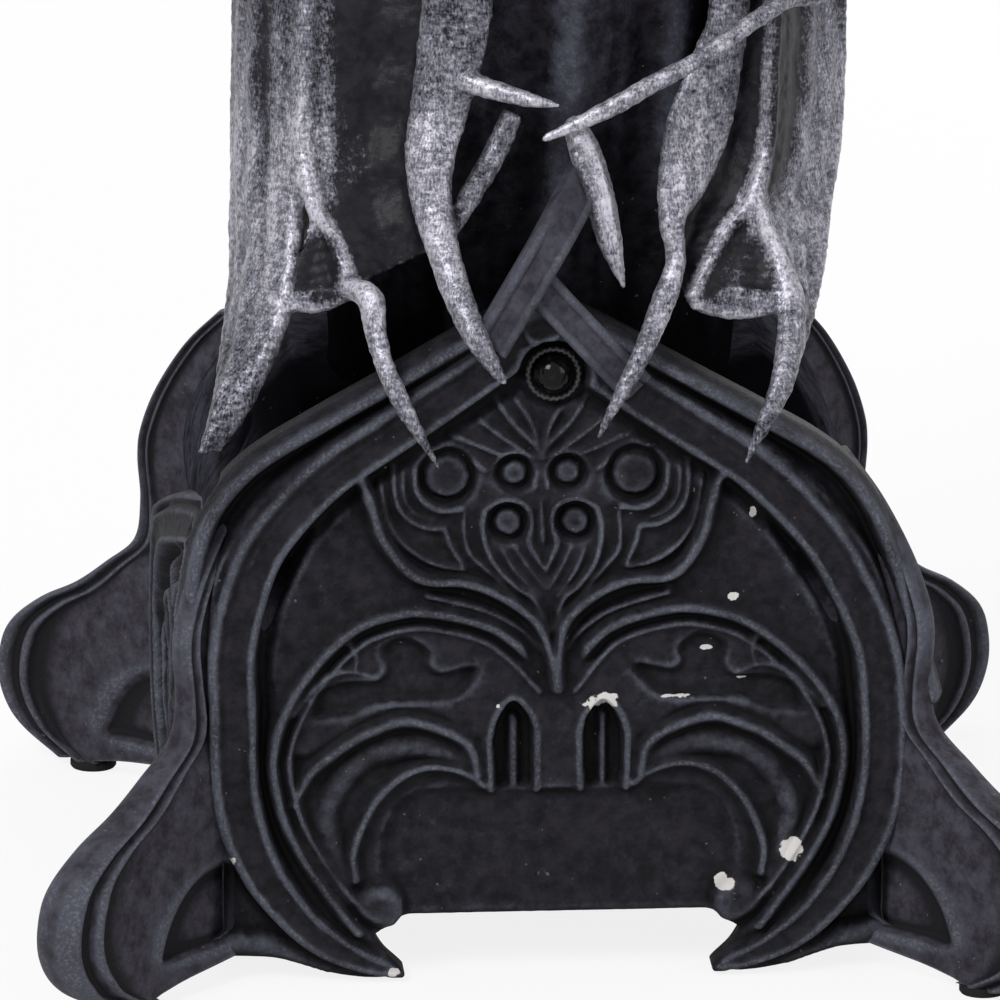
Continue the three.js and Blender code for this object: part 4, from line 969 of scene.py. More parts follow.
def foot():
    """A corner rib with rolls along its flanks, and behind it a fin with an arched recess on each side."""
    edge = spline(FOOT_EDGE, 0.3)
    levels = np.concatenate([np.arange(1.0, 30, 0.26), np.arange(30, FOOT_TOP, 0.5), [FOOT_TOP]])
    far = np.interp(levels, edge[:, 1], edge[:, 0]) * DIAGONAL
    near = np.minimum(at_heights(levels, FOOT_INNER) * DIAGONAL, far - 6.4)
    sizes = [at_heights(levels, table) for table in (FOOT_HALF_WIDTH, FOOT_RIB_DEPTH, FOOT_FIN)]
    inset, bulge = spline(RIB_SECTION, 0.07).T
    rings = []
    for z, out_far, out_near, wide, deep, thin in zip(levels, far, near, *sizes):
        run = np.linspace(out_near, out_far - deep - 0.35, 44)
        along = (run - RECESS_MIDDLE * DIAGONAL) / RECESS_REACH
        arch = along ** 2 + (max(z - 2, 0) / RECESS_RISE) ** 2
        hollow = RECESS_DEEP * smoothstep((1.05 - arch) / 0.34) * smoothstep((z - 4.2) / 1.2)
        side = [(o, thin - h) for o, h in zip(run, hollow)]
        flank = [(out_far - deep * i, wide * b) for i, b in zip(inset, bulge)][::-1]
        half = side + flank
        ring = [(o, -a) for o, a in half] + half[-2::-1]
        rings.append([((a - o) / DIAGONAL, (-o - a) / DIAGONAL, z) for o, a in ring])
    rings = np.array(rings)
    return rings.reshape(-1, 3), ring_faces(*rings.shape[:2])


def feet():
    """The four corners and the felt pad under each."""
    points, faces = foot()
    radius = (PAD_HIGH[0] - PAD_LOW[0]) / 2
    centre = (PAD_LOW + PAD_HIGH) / 2
    rim = [(AXIS, PAD_LOW[2]), (radius - 0.2, PAD_LOW[2]), (radius, 0.25), (radius, PAD_HIGH[2] - 0.2),
           (radius - 0.15, PAD_HIGH[2]), (AXIS, PAD_HIGH[2])]
    pad_points, pad_faces = lathe(dense(rim, 0.3), 40)
    pad_points = pad_points + [centre[0], centre[1], 0]
    for quarter, name in enumerate(("front_left", "front_right", "back_right", "back_left")):
        turn = quarter * math.pi / 2
        # The feet take the lighter resin copy and a stronger ridge gain: painted light over the real rub on
        # their faces.
        piece(name + "_claw", turned(points, turn), faces, RESIN_PAINTED_LIT, [name + "_foot"],
              ridge_rounds=24, gain=1.3)
        piece(name + "_felt", turned(pad_points, turn), pad_faces, FELT, [name + "_pad"])


# Stone, bezel and the ribs that cross over it

def gem():
    """The domed black stone and its beaded setting."""
    centre_z = (GEM_LOW[2] + GEM_HIGH[2]) / 2
    radius = (GEM_HIGH[0] - GEM_LOW[0]) / 2
    rise = GEM_HIGH[1] - GEM_LOW[1]
    quarter = np.linspace(0, math.pi / 2 - 0.02, 20)
    dome = [(radius * math.cos(a), 0.5 + (rise - 0.5) * math.sin(a)) for a in quarter]
    stone, stone_faces = lathe([(radius - 0.1, 0), *dome], 48)
    inner, outer = radius + 0.25, radius + 0.8
    height = BEZEL_HIGH[1] - BEZEL_LOW[1]
    middle = (inner + outer) / 2
    half = (outer - inner) / 2
    turn = np.linspace(-0.9, 4.0, 18)
    ring = [(middle + half * math.cos(a), height * (0.4 + 0.45 * math.sin(a))) for a in turn]

    def beaded(angle, r, z):
        return r + 0.05 * np.cos(BEZEL_BEADS * angle) * (z > height * 0.5)

    band, band_faces = lathe(ring + [ring[0]], BEZEL_BEADS * 8, beaded)
    band_faces = band_faces[:-2]
    for name, points, faces, material, slot, node in (
            ("gem_stone", stone, stone_faces, STONE, "black_stone", "gem_cabochon"),
            ("gem_setting", band, band_faces, BEZEL, "silvered_resin", "gem_bezel")):
        x, y, z = points.T
        facing = np.column_stack([x, GEM_HIGH[1] - z, centre_z + y])
        piece(name, facing, faces, material, [node], ridge_rounds=3)


def tube(rows, sides=14, step=0.6, power=1.0):
    """A tapering bone along rows of (x, y, z, width, depth), widths round the axis and depths out of it.

    A power of 1 gives an oval section and a smaller one a squarer section.
    """
    line = spline(rows, step)
    place = line[:, :3]
    ahead = np.gradient(place, axis=0)
    ahead /= np.linalg.norm(ahead, axis=1)[:, None]
    out = place * [1, 1, 0]
    out /= np.linalg.norm(out, axis=1)[:, None]
    out -= (out * ahead).sum(1)[:, None] * ahead
    out /= np.linalg.norm(out, axis=1)[:, None]
    across = np.cross(out, ahead)
    angle = np.linspace(0, 2 * math.pi, sides, endpoint=False)
    circle = np.stack([np.cos(angle), np.sin(angle)])
    flat = np.abs(circle) ** power * np.sign(circle)
    size = np.maximum(line[:, 3:5], 0.25) / 2
    ring = (place[:, None] + across[:, None] * (flat[0][None, :, None] * size[:, None, :1])
            + out[:, None] * (flat[1][None, :, None] * size[:, None, 1:]))
    return ring.reshape(-1, 3), ring_faces(len(line), sides)


def moulded_bar(line, wide):
    """A flat bar along a line of points, with a bead along each edge."""
    line = np.array(line, float)
    ahead = line[-1] - line[0]
    across = np.cross(ahead / np.linalg.norm(ahead), [0, -1, 0])
    parts = [tube([(*p, wide, 2.6) for p in line], 32, 0.3, 0.4)]
    for side in (-1, 1):
        edge = line + across * side * wide * 0.4 + [0, -1.1, 0]
        parts.append(tube([(*p, 1.1, 1.3) for p in edge], 16, 0.3))
    return parts


OVER_RIB = [(-7, -40.2, 71.6), (-3, -40.4, 78.5), (0, -38.6, 83.1), (4.4, -29, 87.7)]
UNDER_RIB = [(8.8, -38.4, 66.4), (4, -39.6, 71.8), (-1.6, -38.8, 77.9)]
OVER_WIDE, UNDER_WIDE = 4.3, 3.6


def crossing_ribs():
    """The gable's two ribs cross at the point and run on past it."""
    points, faces = joined(moulded_bar(OVER_RIB, OVER_WIDE) + moulded_bar(UNDER_RIB, UNDER_WIDE))
    # Painted light: the crossing ribs take the lighter resin copy and a strong ridge gain.
    piece("crossing_ribs", points, faces, RESIN_PAINTED_LIT, ridge_rounds=5, gain=1.8)


# Draped column

def column():
    """The column's folded cloth, with painted shade darkening it towards its foot."""
    low, high = COLUMN_LOW[2], COLUMN_HIGH[2]
    levels = np.linspace(low, high, 130)
    share = np.clip((levels - low) / (high - low - COLUMN_LIP), 0, 1)
    profile = np.column_stack([COLUMN_RADIUS + COLUMN_FLARE * smoothstep(share), levels])

    def folded(angle, r, z):
        up = (z - low) / (high - low)
        hang = np.sin(np.pi * np.clip(up / 0.9, 0, 1)) ** 0.5 * (up < 0.9)
        sway = 0.35 * np.sin(3 * angle + 4 * up)
        deep = np.cos(FOLDS * angle + sway)
        fine = np.cos(2 * FOLDS * angle + 1.3 + 2 * sway)
        fold = FOLD_SWING * np.abs(deep) ** 0.7 * np.sign(deep)
        return r + hang * (fold - 0.5 + FINE_SWING * fine)

    points, faces = lathe(profile, 264, folded)
    made = piece("column_drape", points, faces, DULL_RESIN, ["draped_column"])
    # Painted shade: the ridge value is lowered all over and lifted again towards the top, so the column's
    # foot renders dark.
    lit = smoothstep((points[:, 2] - low) / 26)
    set_attribute(made.data, "ridge", 0.45 * ridge_of(made.data) - 0.35 + 0.42 * lit)


# Wings: fingers are rows of (x, y, z, width, depth)

ARM_RADIUS = 4.0
ARM_PATH = COLUMN_HIGH[0] - 1 + 0.3 + ARM_RADIUS * 0.9
ARM_Z = COLUMN_HIGH[2] - 4
WRIST_RISE = 12


def arm_point(degrees, width, depth):
    """A row on the arm bone, at an angle from the front."""
    angle = math.radians(degrees)
    z = ARM_Z + WRIST_RISE * math.sin(angle) ** 4
    return (ARM_PATH * math.sin(angle), -ARM_PATH * math.cos(angle), z, width, depth)


def arm_bone(side):
    """The bone round the top of the column, with knuckles where fingers start."""
    rows = []
    for degrees in range(7, 174, 7):
        knuckle = sum(math.exp(-((degrees - k) / 7) ** 2) for k in (48, 76, 136))
        taper = min(1, 0.55 + degrees / 60, 0.55 + (180 - degrees) / 50)
        wide = 2 * ARM_RADIUS * taper * (0.9 + 0.16 * knuckle)
        rows.append(arm_point(side * degrees, wide, wide))
    return rows


# Fingers at the back: degrees from the front, distance from the axis and height of the tip
BACK_FINGERS = [(100, 30.6, 64), (136, 33, 63), (170, 34.5, 61.5)]


def back_finger(degrees, reach, low, side):
    """A finger that runs down the back of a wing."""
    angle = math.radians(side * degrees)
    rows = [arm_point(side * degrees, 5, 5)]
    for radius, z, wide, deep in (
            (reach, 103, 4.6, 4.2), (reach - 0.4, 94, 3.4, 3.4), (reach, 85, 4.2, 3.8),
            (reach + 1, low + 5, 2.8, 2.6), (reach + 0.5, low, 0.6, 0.6)):
        rows.append((radius * math.sin(angle), -radius * math.cos(angle), z, wide, deep))
    return rows


BACK_VEINS = [(118, 28.2), (153, 29.8)]      # degrees from the front and distance from the axis


def back_vein(degrees, radius, side):
    """A thin vein that wanders down the middle of a membrane at the back."""
    rows = []
    for z, wide in ((106, 1.6), (98, 1.4), (90, 1.3), (82, 1.1), (75, 0.9), (69, 0.5)):
        angle = math.radians(side * degrees + 2.5 * math.sin(z * 0.3))
        rows.append((radius * math.sin(angle), -radius * math.cos(angle), z, wide, wide))
    return rows


LEFT_FINGERS = {
    "edge": [arm_point(-76, 5, 5), (-31.6, -12, 103, 2.4, 3), (-31.9, -14, 89, 2.4, 3),
             (-32.4, -21, 76.4, 2.4, 3), (-34.6, -31, 66.9, 2, 2.4), (-36.9, -37, 59.8, 0.8, 1)],
    "inner": [arm_point(-48, 4, 4), (-25.2, -26, 106.3, 1.8, 2.8), (-25.7, -28, 92.5, 1.6, 2.8),
              (-25, -31, 84.4, 2.2, 2.6)],
    "band": [arm_point(-52, 3, 3), (-26.4, -24, 105.8, 1.6, 2.4), (-26.8, -28, 87, 1.8, 2.4),
             (-28.4, -33, 75.1, 2, 2.4), (-32.8, -37, 65.2, 1.8, 2.2), (-36.2, -38, 59.7, 0.8, 1)],
    "hem": [(-25, -31, 84.2, 2, 2.4), (-23, -32.2, 81.3, 1.5, 2), (-21.3, -34.5, 76.8, 1.9, 2.2)],
    "sill": [(-29.4, -33.2, 75, 1.6, 1.8), (-25, -33.8, 74.4, 1.3, 1.6), (-21.4, -34.8, 76.2, 1.4, 1.8)],
    "hook": [(-22.2, -34.2, 77, 2, 2.2), (-19.6, -37, 76.2, 3, 2.8), (-19.1, -38.6, 72.9, 2.5, 2.4),
             (-18.2, -40.6, 69.6, 2.2, 2.2), (-16.7, -42, 66.2, 2.2, 2.1), (-14.1, -43, 61.5, 1.2, 1.3),
             (-12.5, -42.8, 58.7, 0.5, 0.5)],
    "broad": [arm_point(-18, 6, 5), (-9.8, -30.4, 107, 8, 2.8), (-11.6, -31.4, 96.3, 6.8, 2.8),
              (-12.8, -32.8, 91.1, 5.9, 2.8), (-12.8, -34.2, 86.1, 4.8, 2.9),
              (-11.7, -36.4, 81.1, 3.8, 2.9), (-10.1, -39.5, 76.3, 3.3, 2.8),
              (-8.3, -42.1, 72.5, 2.7, 2.5), (-5.5, -42.8, 67.9, 1, 1)],
    "thumb": [(-10.4, -31.2, 99.4, 2.6, 2.4), (-8.2, -32.8, 98.5, 2.5, 2.3), (-5.4, -34.4, 98, 2.2, 2),
              (-2.4, -36, 97.4, 1.8, 1.6), (0.8, -37, 97, 0.6, 0.6)],
    "bar": [(-3.7, -29, 94.3, 2.6, 1.6), (-6.2, -30, 89.2, 2.8, 1.8), (-11.7, -35.4, 82, 2.4, 1.8)],
}
RIGHT_FINGERS = {
    "edge": [arm_point(76, 5, 5), (32.2, -12, 101.8, 2.4, 3), (31.6, -15, 88.1, 2.4, 3),
             (30.2, -19, 81.4, 2.4, 3), (28.8, -27, 75.6, 2, 2.6),
             (26.8, -35, 70.6, 1.6, 1.8), (25, -40.2, 67.2, 1, 1)],
    "inner": [arm_point(48, 4, 4), (24.2, -27.4, 105.6, 1.5, 2.8), (23.9, -28.4, 99.3, 1.3, 2.8),
              (23.5, -29.4, 91.8, 1.5, 2.8), (22, -31, 84.8, 2.2, 2.6)],
    "leg": [(22, -31, 84.6, 2, 2.4), (24.4, -33, 78.5, 2.2, 2.6), (25.8, -35, 74.6, 3.2, 2.8),
            (25.4, -37.5, 70.7, 3.4, 2.8), (24.2, -41.1, 66.9, 2.8, 2.4), (22.4, -42.4, 63.2, 2, 1.8),
            (20.2, -42.8, 58.6, 0.6, 0.6)],
    "hem": [(22, -31, 84.6, 2, 2.4), (19.4, -32, 82.4, 1.4, 2.2), (17.1, -34, 79.1, 1.4, 2.2),
            (14.8, -36.5, 75.2, 1.8, 2.2)],
    "sill": [(14.8, -36.5, 75, 1.6, 1.8), (19.6, -36, 73.4, 1.3, 1.6), (25.8, -35.2, 74.2, 1.4, 1.8)],
    "broad": [arm_point(38, 5, 4), (19.5, -29.2, 106.2, 5.5, 2.8), (18.4, -29.8, 100.9, 6.5, 2.8),
              (16.2, -31.2, 93.6, 8.4, 2.8), (14.1, -33.2, 87.5, 6.4, 2.8), (12.9, -34.8, 83.8, 3.2, 2.8),
              (13.2, -36.5, 79.6, 2.2, 2.6), (11.8, -38.6, 75.8, 2.8, 2.6), (9, -42.1, 70.5, 2.2, 2.2),
              (6.2, -43, 65.5, 1.5, 1.6), (4.3, -43, 61.6, 0.5, 0.5)],
    "thumb": [arm_point(62, 3, 3), (31.2, -24, 108.5, 2.4, 2.4), (24.9, -31.5, 106.6, 2.1, 2.1),
              (20, -36, 104.6, 2, 2), (15.6, -38.5, 102.3, 1.9, 1.9), (10.1, -40, 99.8, 2.1, 2.1),
              (4.7, -41, 97.1, 2, 2), (-1.6, -41.5, 94.4, 0.9, 0.9)],
}


def web(left, right, sag, thick=1.5):
    """A membrane between two lines of points, drawn in towards the axis between them."""
    t = np.linspace(0, 1, WEB_ROWS)

    def evenly(points):
        line = spline([row[:3] for row in points], 0.5)
        run = np.concatenate([[0], np.cumsum(np.linalg.norm(np.diff(line, axis=0), axis=1))])
        return np.column_stack([np.interp(t * run[-1], run, line[:, k]) for k in range(3)])

    a, b = evenly(left), evenly(right)
    share = np.linspace(0, 1, WEB_COLUMNS)[None, :, None]
    middle = a[:, None] * (1 - share) + b[:, None] * share
    out = middle * [1, 1, 0]
    out /= np.linalg.norm(out, axis=2)[:, :, None]
    crease = 0.25 * np.sin(t * 40)[:, None, None] * np.sin(math.pi * share)
    pleat = 0.3 * np.sin(6 * math.pi * share + 2 * t[:, None, None])
    middle = middle - out * (sag + crease + pleat) * np.sin(math.pi * share)
    sheets = np.concatenate([middle + out * thick / 2, (middle - out * thick / 2)[:, ::-1]], 1)
    return sheets.reshape(-1, 3), ring_faces(WEB_ROWS, 2 * WEB_COLUMNS)


def left_webs(f):
    pane = [(-25.6, -31, 83.4), (-26.6, -32.2, 79.4), (-28.2, -33, 75.6)]
    ledge = [pane[2], (-25, -33.6, 76.6), f["hem"][2]]
    return [web(f["edge"], f["band"], -1.5, 2.4),
            web(f["inner"][1:], f["band"][1:3], 0, 2.4),
            web(f["hem"], pane, 0.9),
            web(f["sill"], ledge, 0.2),
            web(f["inner"] + f["hem"][2:], f["broad"][:6], 4)]


def right_webs(f):
    pane = [f["leg"][0], (23.2, -32.2, 81), f["leg"][1], f["leg"][2]]
    ledge = [f["hem"][3], (20, -35.4, 76.4), f["leg"][2]]
    return [web(f["inner"], f["edge"][:4], 0.4, 2.2),
            web([f["inner"][4], *f["leg"][1:5]], f["edge"][3:], 0.3, 2.2),
            web(f["hem"], pane, 0.9),
            web(f["sill"], ledge, 0.2),
            web(f["broad"][:7], f["inner"] + f["hem"][1:], 3.2)]


def fused(name, parts, voxel):
    """One skin over several closed parts, smoothed."""
    points, faces = joined(parts)
    rough = bpy.data.meshes.new(name + "_rough")
    rough.from_pydata((points * MM).tolist(), [], faces)
    carrier = bpy.data.objects.new(name + "_rough", rough)
    bpy.context.scene.collection.objects.link(carrier)
    remesh = carrier.modifiers.new("skin", "REMESH")
    remesh.mode = "VOXEL"
    remesh.voxel_size = voxel * MM
    bpy.context.view_layer.update()
    skin = carrier.evaluated_get(bpy.context.evaluated_depsgraph_get())
    mesh = bpy.data.meshes.new_from_object(skin)
    bpy.data.objects.remove(carrier)
    places = averaged(mesh, read(mesh.vertices, "co", 3).astype(float), 2)
    mesh.vertices.foreach_set("co", places.astype(np.float32).ravel())
    mesh.update()
    return mesh


def roughen(mesh, amount, size):
    """Moves the vertices in and out by a fine grain."""
    places = read(mesh.vertices, "co", 3)
    normals = read(mesh.vertex_normals, "vector", 3)
    grain = np.array([noise.noise(Vector(p) / (size * MM)) for p in places])
    moved = places + normals * (grain * amount * MM)[:, None]
    mesh.vertices.foreach_set("co", moved.astype(np.float32).ravel())
    mesh.update()


def silver_cover(mesh, fingers, bare):
    """1 on the fingers and 0 on the membranes and bare spots, fading to the tips and towards the top."""
    places = read(mesh.vertices, "co", 3) / MM
    cover = np.zeros(len(places))
    for rows, bright, spread in fingers:
        line = spline(rows, 0.6)
        best = np.full(len(places), np.inf)
        for x, y, z, wide, _ in line:
            reach = np.linalg.norm(places - [x, y, z], axis=1) / max(wide * 0.5 + spread, 0.8)
            best = np.minimum(best, reach)
        cover = np.maximum(cover, bright * (1 - smoothstep((best - 0.7) / 0.6)))
    for centre, radius, left in bare:
        away = np.linalg.norm(places - centre, axis=1) / radius
        cover *= left + (1 - left) * smoothstep((away - 0.5) / 0.5)
    low = smoothstep((places[:, 2] - 56) / 26)
    top = smoothstep((places[:, 2] - 90) / 16)
    return cover * (0.25 + 0.75 * low) * (1 - 0.4 * top)


# How brightly each bone is painted, and how far the paint spreads past it
PAINT = {"edge": (0.75, 9.0), "inner": (0.85, 0.3), "band": (0.8, 3.2), "hem": (0.95, 0.25),
         "hook": (0.9, 0.4), "broad": (0.74, 0.3), "thumb": (0.9, 0.3), "bar": (0.45, 0.3),
         "leg": (0.85, 0.8), "sill": (1.0, 0.2), "arm": (0.9, 0.4), "back": (0.85, 0.5),
         "rub": (0.17, 1.2), "vein": (0.3, 0.3), "blade": (1.0, 0.4)}
RUBBED_PATCH = [(-24.2, -27, 96, 2, 2), (-21.5, -27.5, 88.5, 3.4, 2)]

# Bare spots in the paint: centre, radius and the share of paint left
LEFT_BARE = [((-25, -33, 79.6), 3.4, 0.2), ((-25, -33, 77.4), 3.6, 0.2), ((-28.6, -21, 106), 7, 0.7),
             ((-28.4, -23, 96), 6, 0.75)]
RIGHT_BARE = [((21.4, -33.6, 79.4), 2.4, 0.2), ((22, -34.4, 77), 2.8, 0.2)]


def wing(name, fingers, webs, side, node, bare, rubs=()):
    """Bones and membranes of one wing as one skin, with paint on the bones."""
    backs = [back_finger(*finger, side) for finger in BACK_FINGERS]
    hems = [fingers["edge"][:4]] + [rows[:5] for rows in backs]
    back_webs = [web(a, b, 3) for a, b in zip(hems, hems[1:])]
    veins = [back_vein(*vein, side) for vein in BACK_VEINS]
    arm = arm_bone(side)
    bones = [arm, *fingers.values(), *backs, *veins]
    mesh = fused(name, [*map(tube, bones), *webs, *back_webs], WING_VOXEL)
    roughen(mesh, 0.12, 0.8)
    made = dress(name, mesh, SILVERED, [node], ridge_rounds=6)
    painted = [("arm", arm), *fingers.items()]
    for key, group in (("back", backs), ("rub", rubs), ("vein", veins)):
        painted += [(key, rows) for rows in group]
    lines = [(rows, *PAINT[key]) for key, rows in painted]
    set_attribute(made.data, "silver", silver_cover(made.data, lines, bare))


def wings():
    wing("left_wing_skin", LEFT_FINGERS, left_webs(LEFT_FINGERS), -1, "left_wing", LEFT_BARE,
         [RUBBED_PATCH])
    wing("right_wing_skin", RIGHT_FINGERS, right_webs(RIGHT_FINGERS), 1, "right_wing", RIGHT_BARE)


BLADE = [(2.8, -27, 92.6, 2.2, 2.6), (3.7, -29.8, 90.8, 3.5, 3.6), (5.2, -32, 86.3, 3.5, 3.4),
         (6.4, -33, 81, 2.9, 2.6), (7.9, -34, 75.9, 0.5, 0.5)]


def blade():
    """A six-sided pointed blade with a raised crease."""
    crease = [(x - 0.25 * wide, y - 0.4 * deep, z, 0.4 * wide, 0.5 * deep)
              for x, y, z, wide, deep in BLADE[1:]]
    mesh = fused("blade", [tube(BLADE, 6, 0.3), tube(crease, 10, 0.3)], BLADE_VOXEL)
    roughen(mesh, 0.08, 0.8)
    made = dress("hanging_blade_skin", mesh, SILVERED, ["hanging_blade"])
    set_attribute(made.data, "silver", silver_cover(made.data, [(BLADE, *PAINT["blade"])], []))


# Bowl, cup and tea light

def bowl_profile():
    """The outside of the bowl from its axis up to the rim, and the inside down to the axis again."""
    low, top, radius = BOWL_LOW[2], BOWL_HIGH[2], BOWL_HIGH[0]
    foot, neck, lip = BOWL_FOOT, radius - 2.2, radius - 1.6
    belly = [(foot, low + 3.2), (24, low + 7.5), (28.2, low + 17), (neck, top - 6)]
    outside = [(AXIS, low), (foot, low), *arc((foot, low + 1.3), 1.3, -90, 90, 10), (foot - 0.2, low + 2.9),
               *spline(belly, 0.4), *arc((neck, top - 5), 0.9, -90, 90, 8), (lip, top - 3.8),
               *arc((lip, top - 1.9), 1.6, -80, 90, 14)]
    flange = CUP_HIGH[0] + 0.3
    ledge = CUP_HIGH[2] - 1.1
    socket = flange - CUP_FLANGE
    floor_z = CUP_LOW[2] - 0.3
    slope = [(radius - 3, top - 1), (radius - 4.2, top - 8), (flange, ledge + 0.8)]
    inside = [(radius - 2.9, top - 0.4), *spline(slope, 0.5), (flange, ledge), (socket, ledge),
              (socket, floor_z), (AXIS, floor_z)]
    return outside, inside


def bowl():
    """The dish for the cup, with a ring of arches round its outside."""
    outside, inside = bowl_profile()
    outer_rows = len(dense(outside, BOWL_STEP))
    belt_low, belt_top = BOWL_LOW[2] + BELT_MARGIN, BOWL_HIGH[2] - BELT_MARGIN

    def carved(angle, r, z):
        wide = 2 * np.pi / BOWL_ARCHES
        across = np.abs(np.mod(angle, wide) / wide - 0.5) * 2
        half = np.pi * r / BOWL_ARCHES
        up = (z - belt_low) / (belt_top - belt_low)
        head = 0.78 * np.sqrt(np.clip(1 - (np.maximum(up - 0.45, 0) / 0.62) ** 1.6, 0.002, 1))
        slope = half * np.gradient(head, axis=0) / np.maximum(np.abs(np.gradient(z, axis=0)), 0.05)
        away = (head - across) * half / np.sqrt(1 + slope ** 2)
        ridge = np.exp(-(away / 0.55) ** 2)
        pier = np.exp(-((across - 1) * half / 0.7) ** 2)
        field = -ARCH_SUNK * smoothstep(away / 0.5 + 0.5)
        belt = smoothstep((up + 0.04) / 0.08) * smoothstep((1.04 - up) / 0.08)
        outside_only = (np.arange(len(r)) < outer_rows)[:, None]
        return r + outside_only * belt * (ARCH_RISE * ridge + PIER_RISE * pier + field)

    points, faces = lathe(dense(outside + inside, BOWL_STEP), BOWL_ARCHES * 48, carved)
    piece("bowl_skin", points, faces, RESIN, ["bowl"], ridge_rounds=4)


def cup():
    """The flanged metal cup."""
    low, high, flange = CUP_LOW[2], CUP_HIGH[2], CUP_HIGH[0]
    outer = flange - CUP_FLANGE
    inner = outer - CUP_WALL
    rim = high - CUP_WALL
    profile = [(AXIS, low), *arc((outer - 1, low + 1), 1, -90, 0, 8), (outer, rim), (flange - 0.4, rim),
               *arc((flange - 0.4, high - 0.4), 0.4, -90, 90, 8),
               *arc((inner + 0.5, high - 0.5), 0.5, 90, 180, 6),
               *arc((inner - 0.7, low + 1.5), 0.7, 0, -90, 8), (AXIS, low + CUP_WALL)]
    points, faces = lathe(dense(profile, 0.6), 128)
    piece("steel_cup", points, faces, STEEL, ["cup_liner"], body="cup")


def tea_light_case():
    """The thin fluted case, with a rolled edge."""
    low, high, radius = CASE_LOW[2], CASE_HIGH[2], CASE_HIGH[0]
    profile = [(AXIS, low), (radius - 1.6, low), (radius - 1.2, low + 0.3),
               *arc((radius - 0.9, low + 0.9), 0.6, -60, 0, 5), (radius - 0.25, high - 0.9),
               *arc((radius - 0.35, high - 0.35), 0.35, 0, 180, 10), (radius - 0.7, high - 1),
               (radius - 0.8, low + 0.6), (AXIS, low + 0.55)]

    def fluted(angle, r, z):
        wall = smoothstep((z - low - 1) / 2) * smoothstep((high - 1 - z) / 1.5) * (r > radius - 1)
        return r + wall * (FLUTE_SWING * np.cos(CASE_FLUTES * angle) - 0.1)

    points, faces = lathe(dense(profile, 0.5), CASE_FLUTES * 5, fluted)
    piece("foil_case", points, faces, ALUMINIUM, ["tealight_case"], body="tea_light")


def wax_fill():
    """The wax, drawn up at its edge and sunk round the wick."""
    low, top, edge = WAX_LOW[2], WAX_HIGH[2], WAX_HIGH[0]
    run = np.linspace(0, 1, 40)
    climb = WAX_CLIMB * run ** 8 - WAX_SINK * np.exp(-(run * edge / 2.2) ** 2)
    surface = [(edge - (edge - 1.0) * (1 - r), top - 0.4 + c) for r, c in zip(run, climb)]
    profile = [(WAX_BASE, low), (edge, low), (edge, top - 0.6), *surface[::-1]]

    def poured(angle, r, z):
        return r + 0.03 * np.sin(5 * angle + z) * (r < edge - 0.5)

    points, faces = lathe(dense(profile, 0.6), 96, poured)
    piece("wax_fill", points, faces, WAX, ["tealight_wax"], body="tea_light")


def strand(x, y, z, radius, sides=8):
    """A round strand along an upright line."""
    angle = np.linspace(0, 2 * math.pi, sides, endpoint=False)
    ring = np.stack([x[:, None] + radius * np.cos(angle), y[:, None] + radius * np.sin(angle),
                     np.repeat(z[:, None], sides, 1)], 2)
    return ring.reshape(-1, 3), ring_faces(len(z), sides)


def wick():
    """Strands that twist round each other and lean over at the tip."""
    bottom, tip, radius = WICK_LOW[2], WICK_HIGH[2], WICK_HIGH[0]
    z = np.linspace(bottom, tip - 0.2, 70)
    bend = WICK_OFF + WICK_LEAN * smoothstep((z - tip + 6) / 6)
    twist = radius * 0.42
    strands = []
    for k in range(WICK_STRANDS):
        angle = 2 * np.pi * k / WICK_STRANDS + (z - bottom) * WICK_TWIST
        strands.append(strand(twist * np.cos(angle) + bend, twist * np.sin(angle), z, radius * 0.525))
    points, faces = joined(strands)
    piece("braided_wick", points, faces, COTTON, ["tealight_wick"], body="tea_light",
          ridge_rounds=3)


def wick_clip():
    """The pressed plate and collar that hold the wick."""
    plate, collar, bore = 6.0, 1.8, 1.0
    low, top = CLIP_LOW[2], CLIP_HIGH[2]
    profile = [(AXIS, low), (plate, low), (plate, low + 0.4), (collar + 0.3, low + 0.5),
               (collar, low + 0.8), (collar - 0.1, top - 0.2), (collar - 0.3, top), (bore, top),
               (bore, low + 0.5), (AXIS, low + 0.5)]
    points, faces = lathe(dense(profile, 0.3), 48)
    piece("wick_clip", points, faces, STEEL, ["wick_sustainer"], body="tea_light")


def pins():
    """The hidden pins keep their CAD shapes and take brushed steel."""
    for name, node in frame["nodes"].items():
        if name.endswith("_pin"):
            node.data.materials.clear()
            node.data.materials.append(STEEL)


# Floor, light and camera

def sees_background(s):
    """1 for the rays to which floor and world show as white."""
    ray = s.node("ShaderNodeLightPath").outputs
    seen = s.math("MAXIMUM", ray["Is Camera Ray"], ray["Is Glossy Ray"])
    return s.math("MAXIMUM", seen, ray["Is Transmission Ray"])


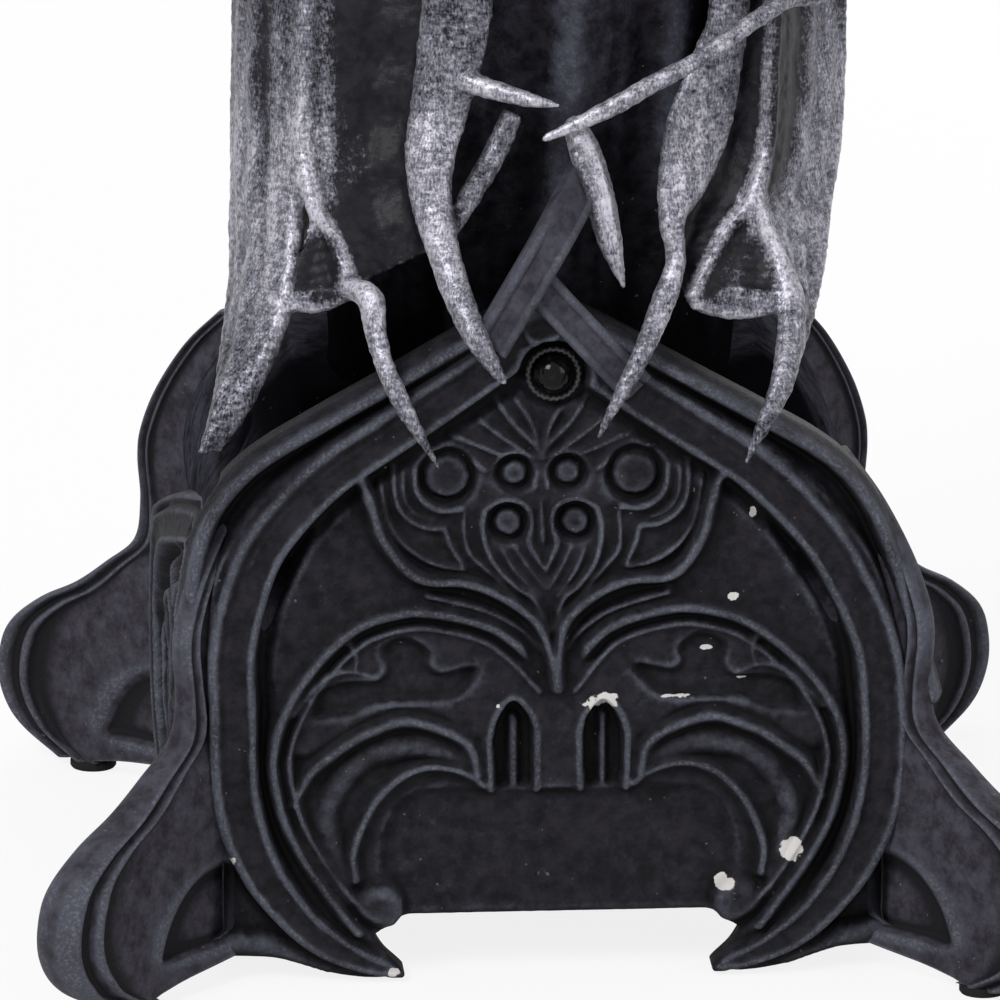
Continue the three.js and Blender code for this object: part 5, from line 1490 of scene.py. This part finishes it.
def floor():
    """A white floor that keeps a little of the shadow."""
    mesh = bpy.data.meshes.new("floor")
    corners = [(x * FLOOR_REACH, y * FLOOR_REACH, 0) for x, y in ((-1, -1), (1, -1), (1, 1), (-1, 1))]
    mesh.from_pydata(corners, [], [(0, 1, 2, 3)])
    s = new_material("pale_floor")
    s.set(base_color=grey(0.8), roughness=0.8, specular_ior_level=0.1)
    glow = s.node("ShaderNodeEmission", {"Color": grey(1.0), "Strength": 1.0})
    mix = s.node("ShaderNodeMixShader", {"Fac": s.math("MULTIPLY", sees_background(s), FLOOR_GLOW)})
    s.put(s.surface.outputs[0], mix.inputs[1])
    s.put(glow.outputs[0], mix.inputs[2])
    s.put(mix.outputs[0], s.tree.nodes["Material Output"].inputs["Surface"])
    mesh.materials.append(s.owner)
    made = bpy.data.objects.new("floor", mesh)
    bpy.context.scene.collection.objects.link(made)


def world():
    """White to look at, and a weaker fill on the object."""
    made = bpy.data.worlds.new("studio")
    s = Shader(made, "Background")
    limits = {"Value": sees_background(s), "To Min": WORLD_FILL, "To Max": 1.0}
    s.set(color=grey(1.0), strength=s.node("ShaderNodeMapRange", limits).outputs["Result"])
    bpy.context.scene.world = made


def area_light(name, place, size, watts):
    """A square lamp that faces the object."""
    lamp = bpy.data.lights.new(name, "AREA")
    lamp.energy = watts
    lamp.size = size * MM
    made = bpy.data.objects.new(name, lamp)
    made.location = Vector(place) * MM
    aim = Vector(LAMP_TARGET) * MM
    made.rotation_mode = "QUATERNION"
    made.rotation_quaternion = (aim - made.location).to_track_quat("-Z", "Y")
    bpy.context.scene.collection.objects.link(made)


def lights():
    for lamp in LAMPS:
        area_light(*lamp)


def camera():
    """The photograph's view."""
    a, e = CAMERA_AZIMUTH, CAMERA_ELEVATION
    back = Vector((math.sin(a) * math.cos(e), -math.cos(a) * math.cos(e), math.sin(e)))
    right = Vector((math.cos(a), math.sin(a), 0))
    up = back.cross(right)
    target = right * AIM_ACROSS + up * AIM_UP
    data = bpy.data.cameras.new("camera")
    data.sensor_width = CAMERA_SENSOR
    data.lens = CAMERA_LENS
    data.clip_start, data.clip_end = CAMERA_CLIP
    made = bpy.data.objects.new("camera", data)
    made.location = back * CAMERA_DISTANCE * MM
    made.rotation_mode = "QUATERNION"
    made.rotation_quaternion = (target * MM - made.location).to_track_quat("-Z", "Y")
    bpy.context.scene.collection.objects.link(made)
    bpy.context.scene.camera = made


bpy.context.scene.view_settings.view_transform = "Standard"
front_panel()
side_panels()
pedestal()
feet()
gem()
crossing_ribs()
column()
wings()
blade()
bowl()
cup()
tea_light_case()
wax_fill()
wick()
wick_clip()
pins()
floor()
world()
lights()
camera()
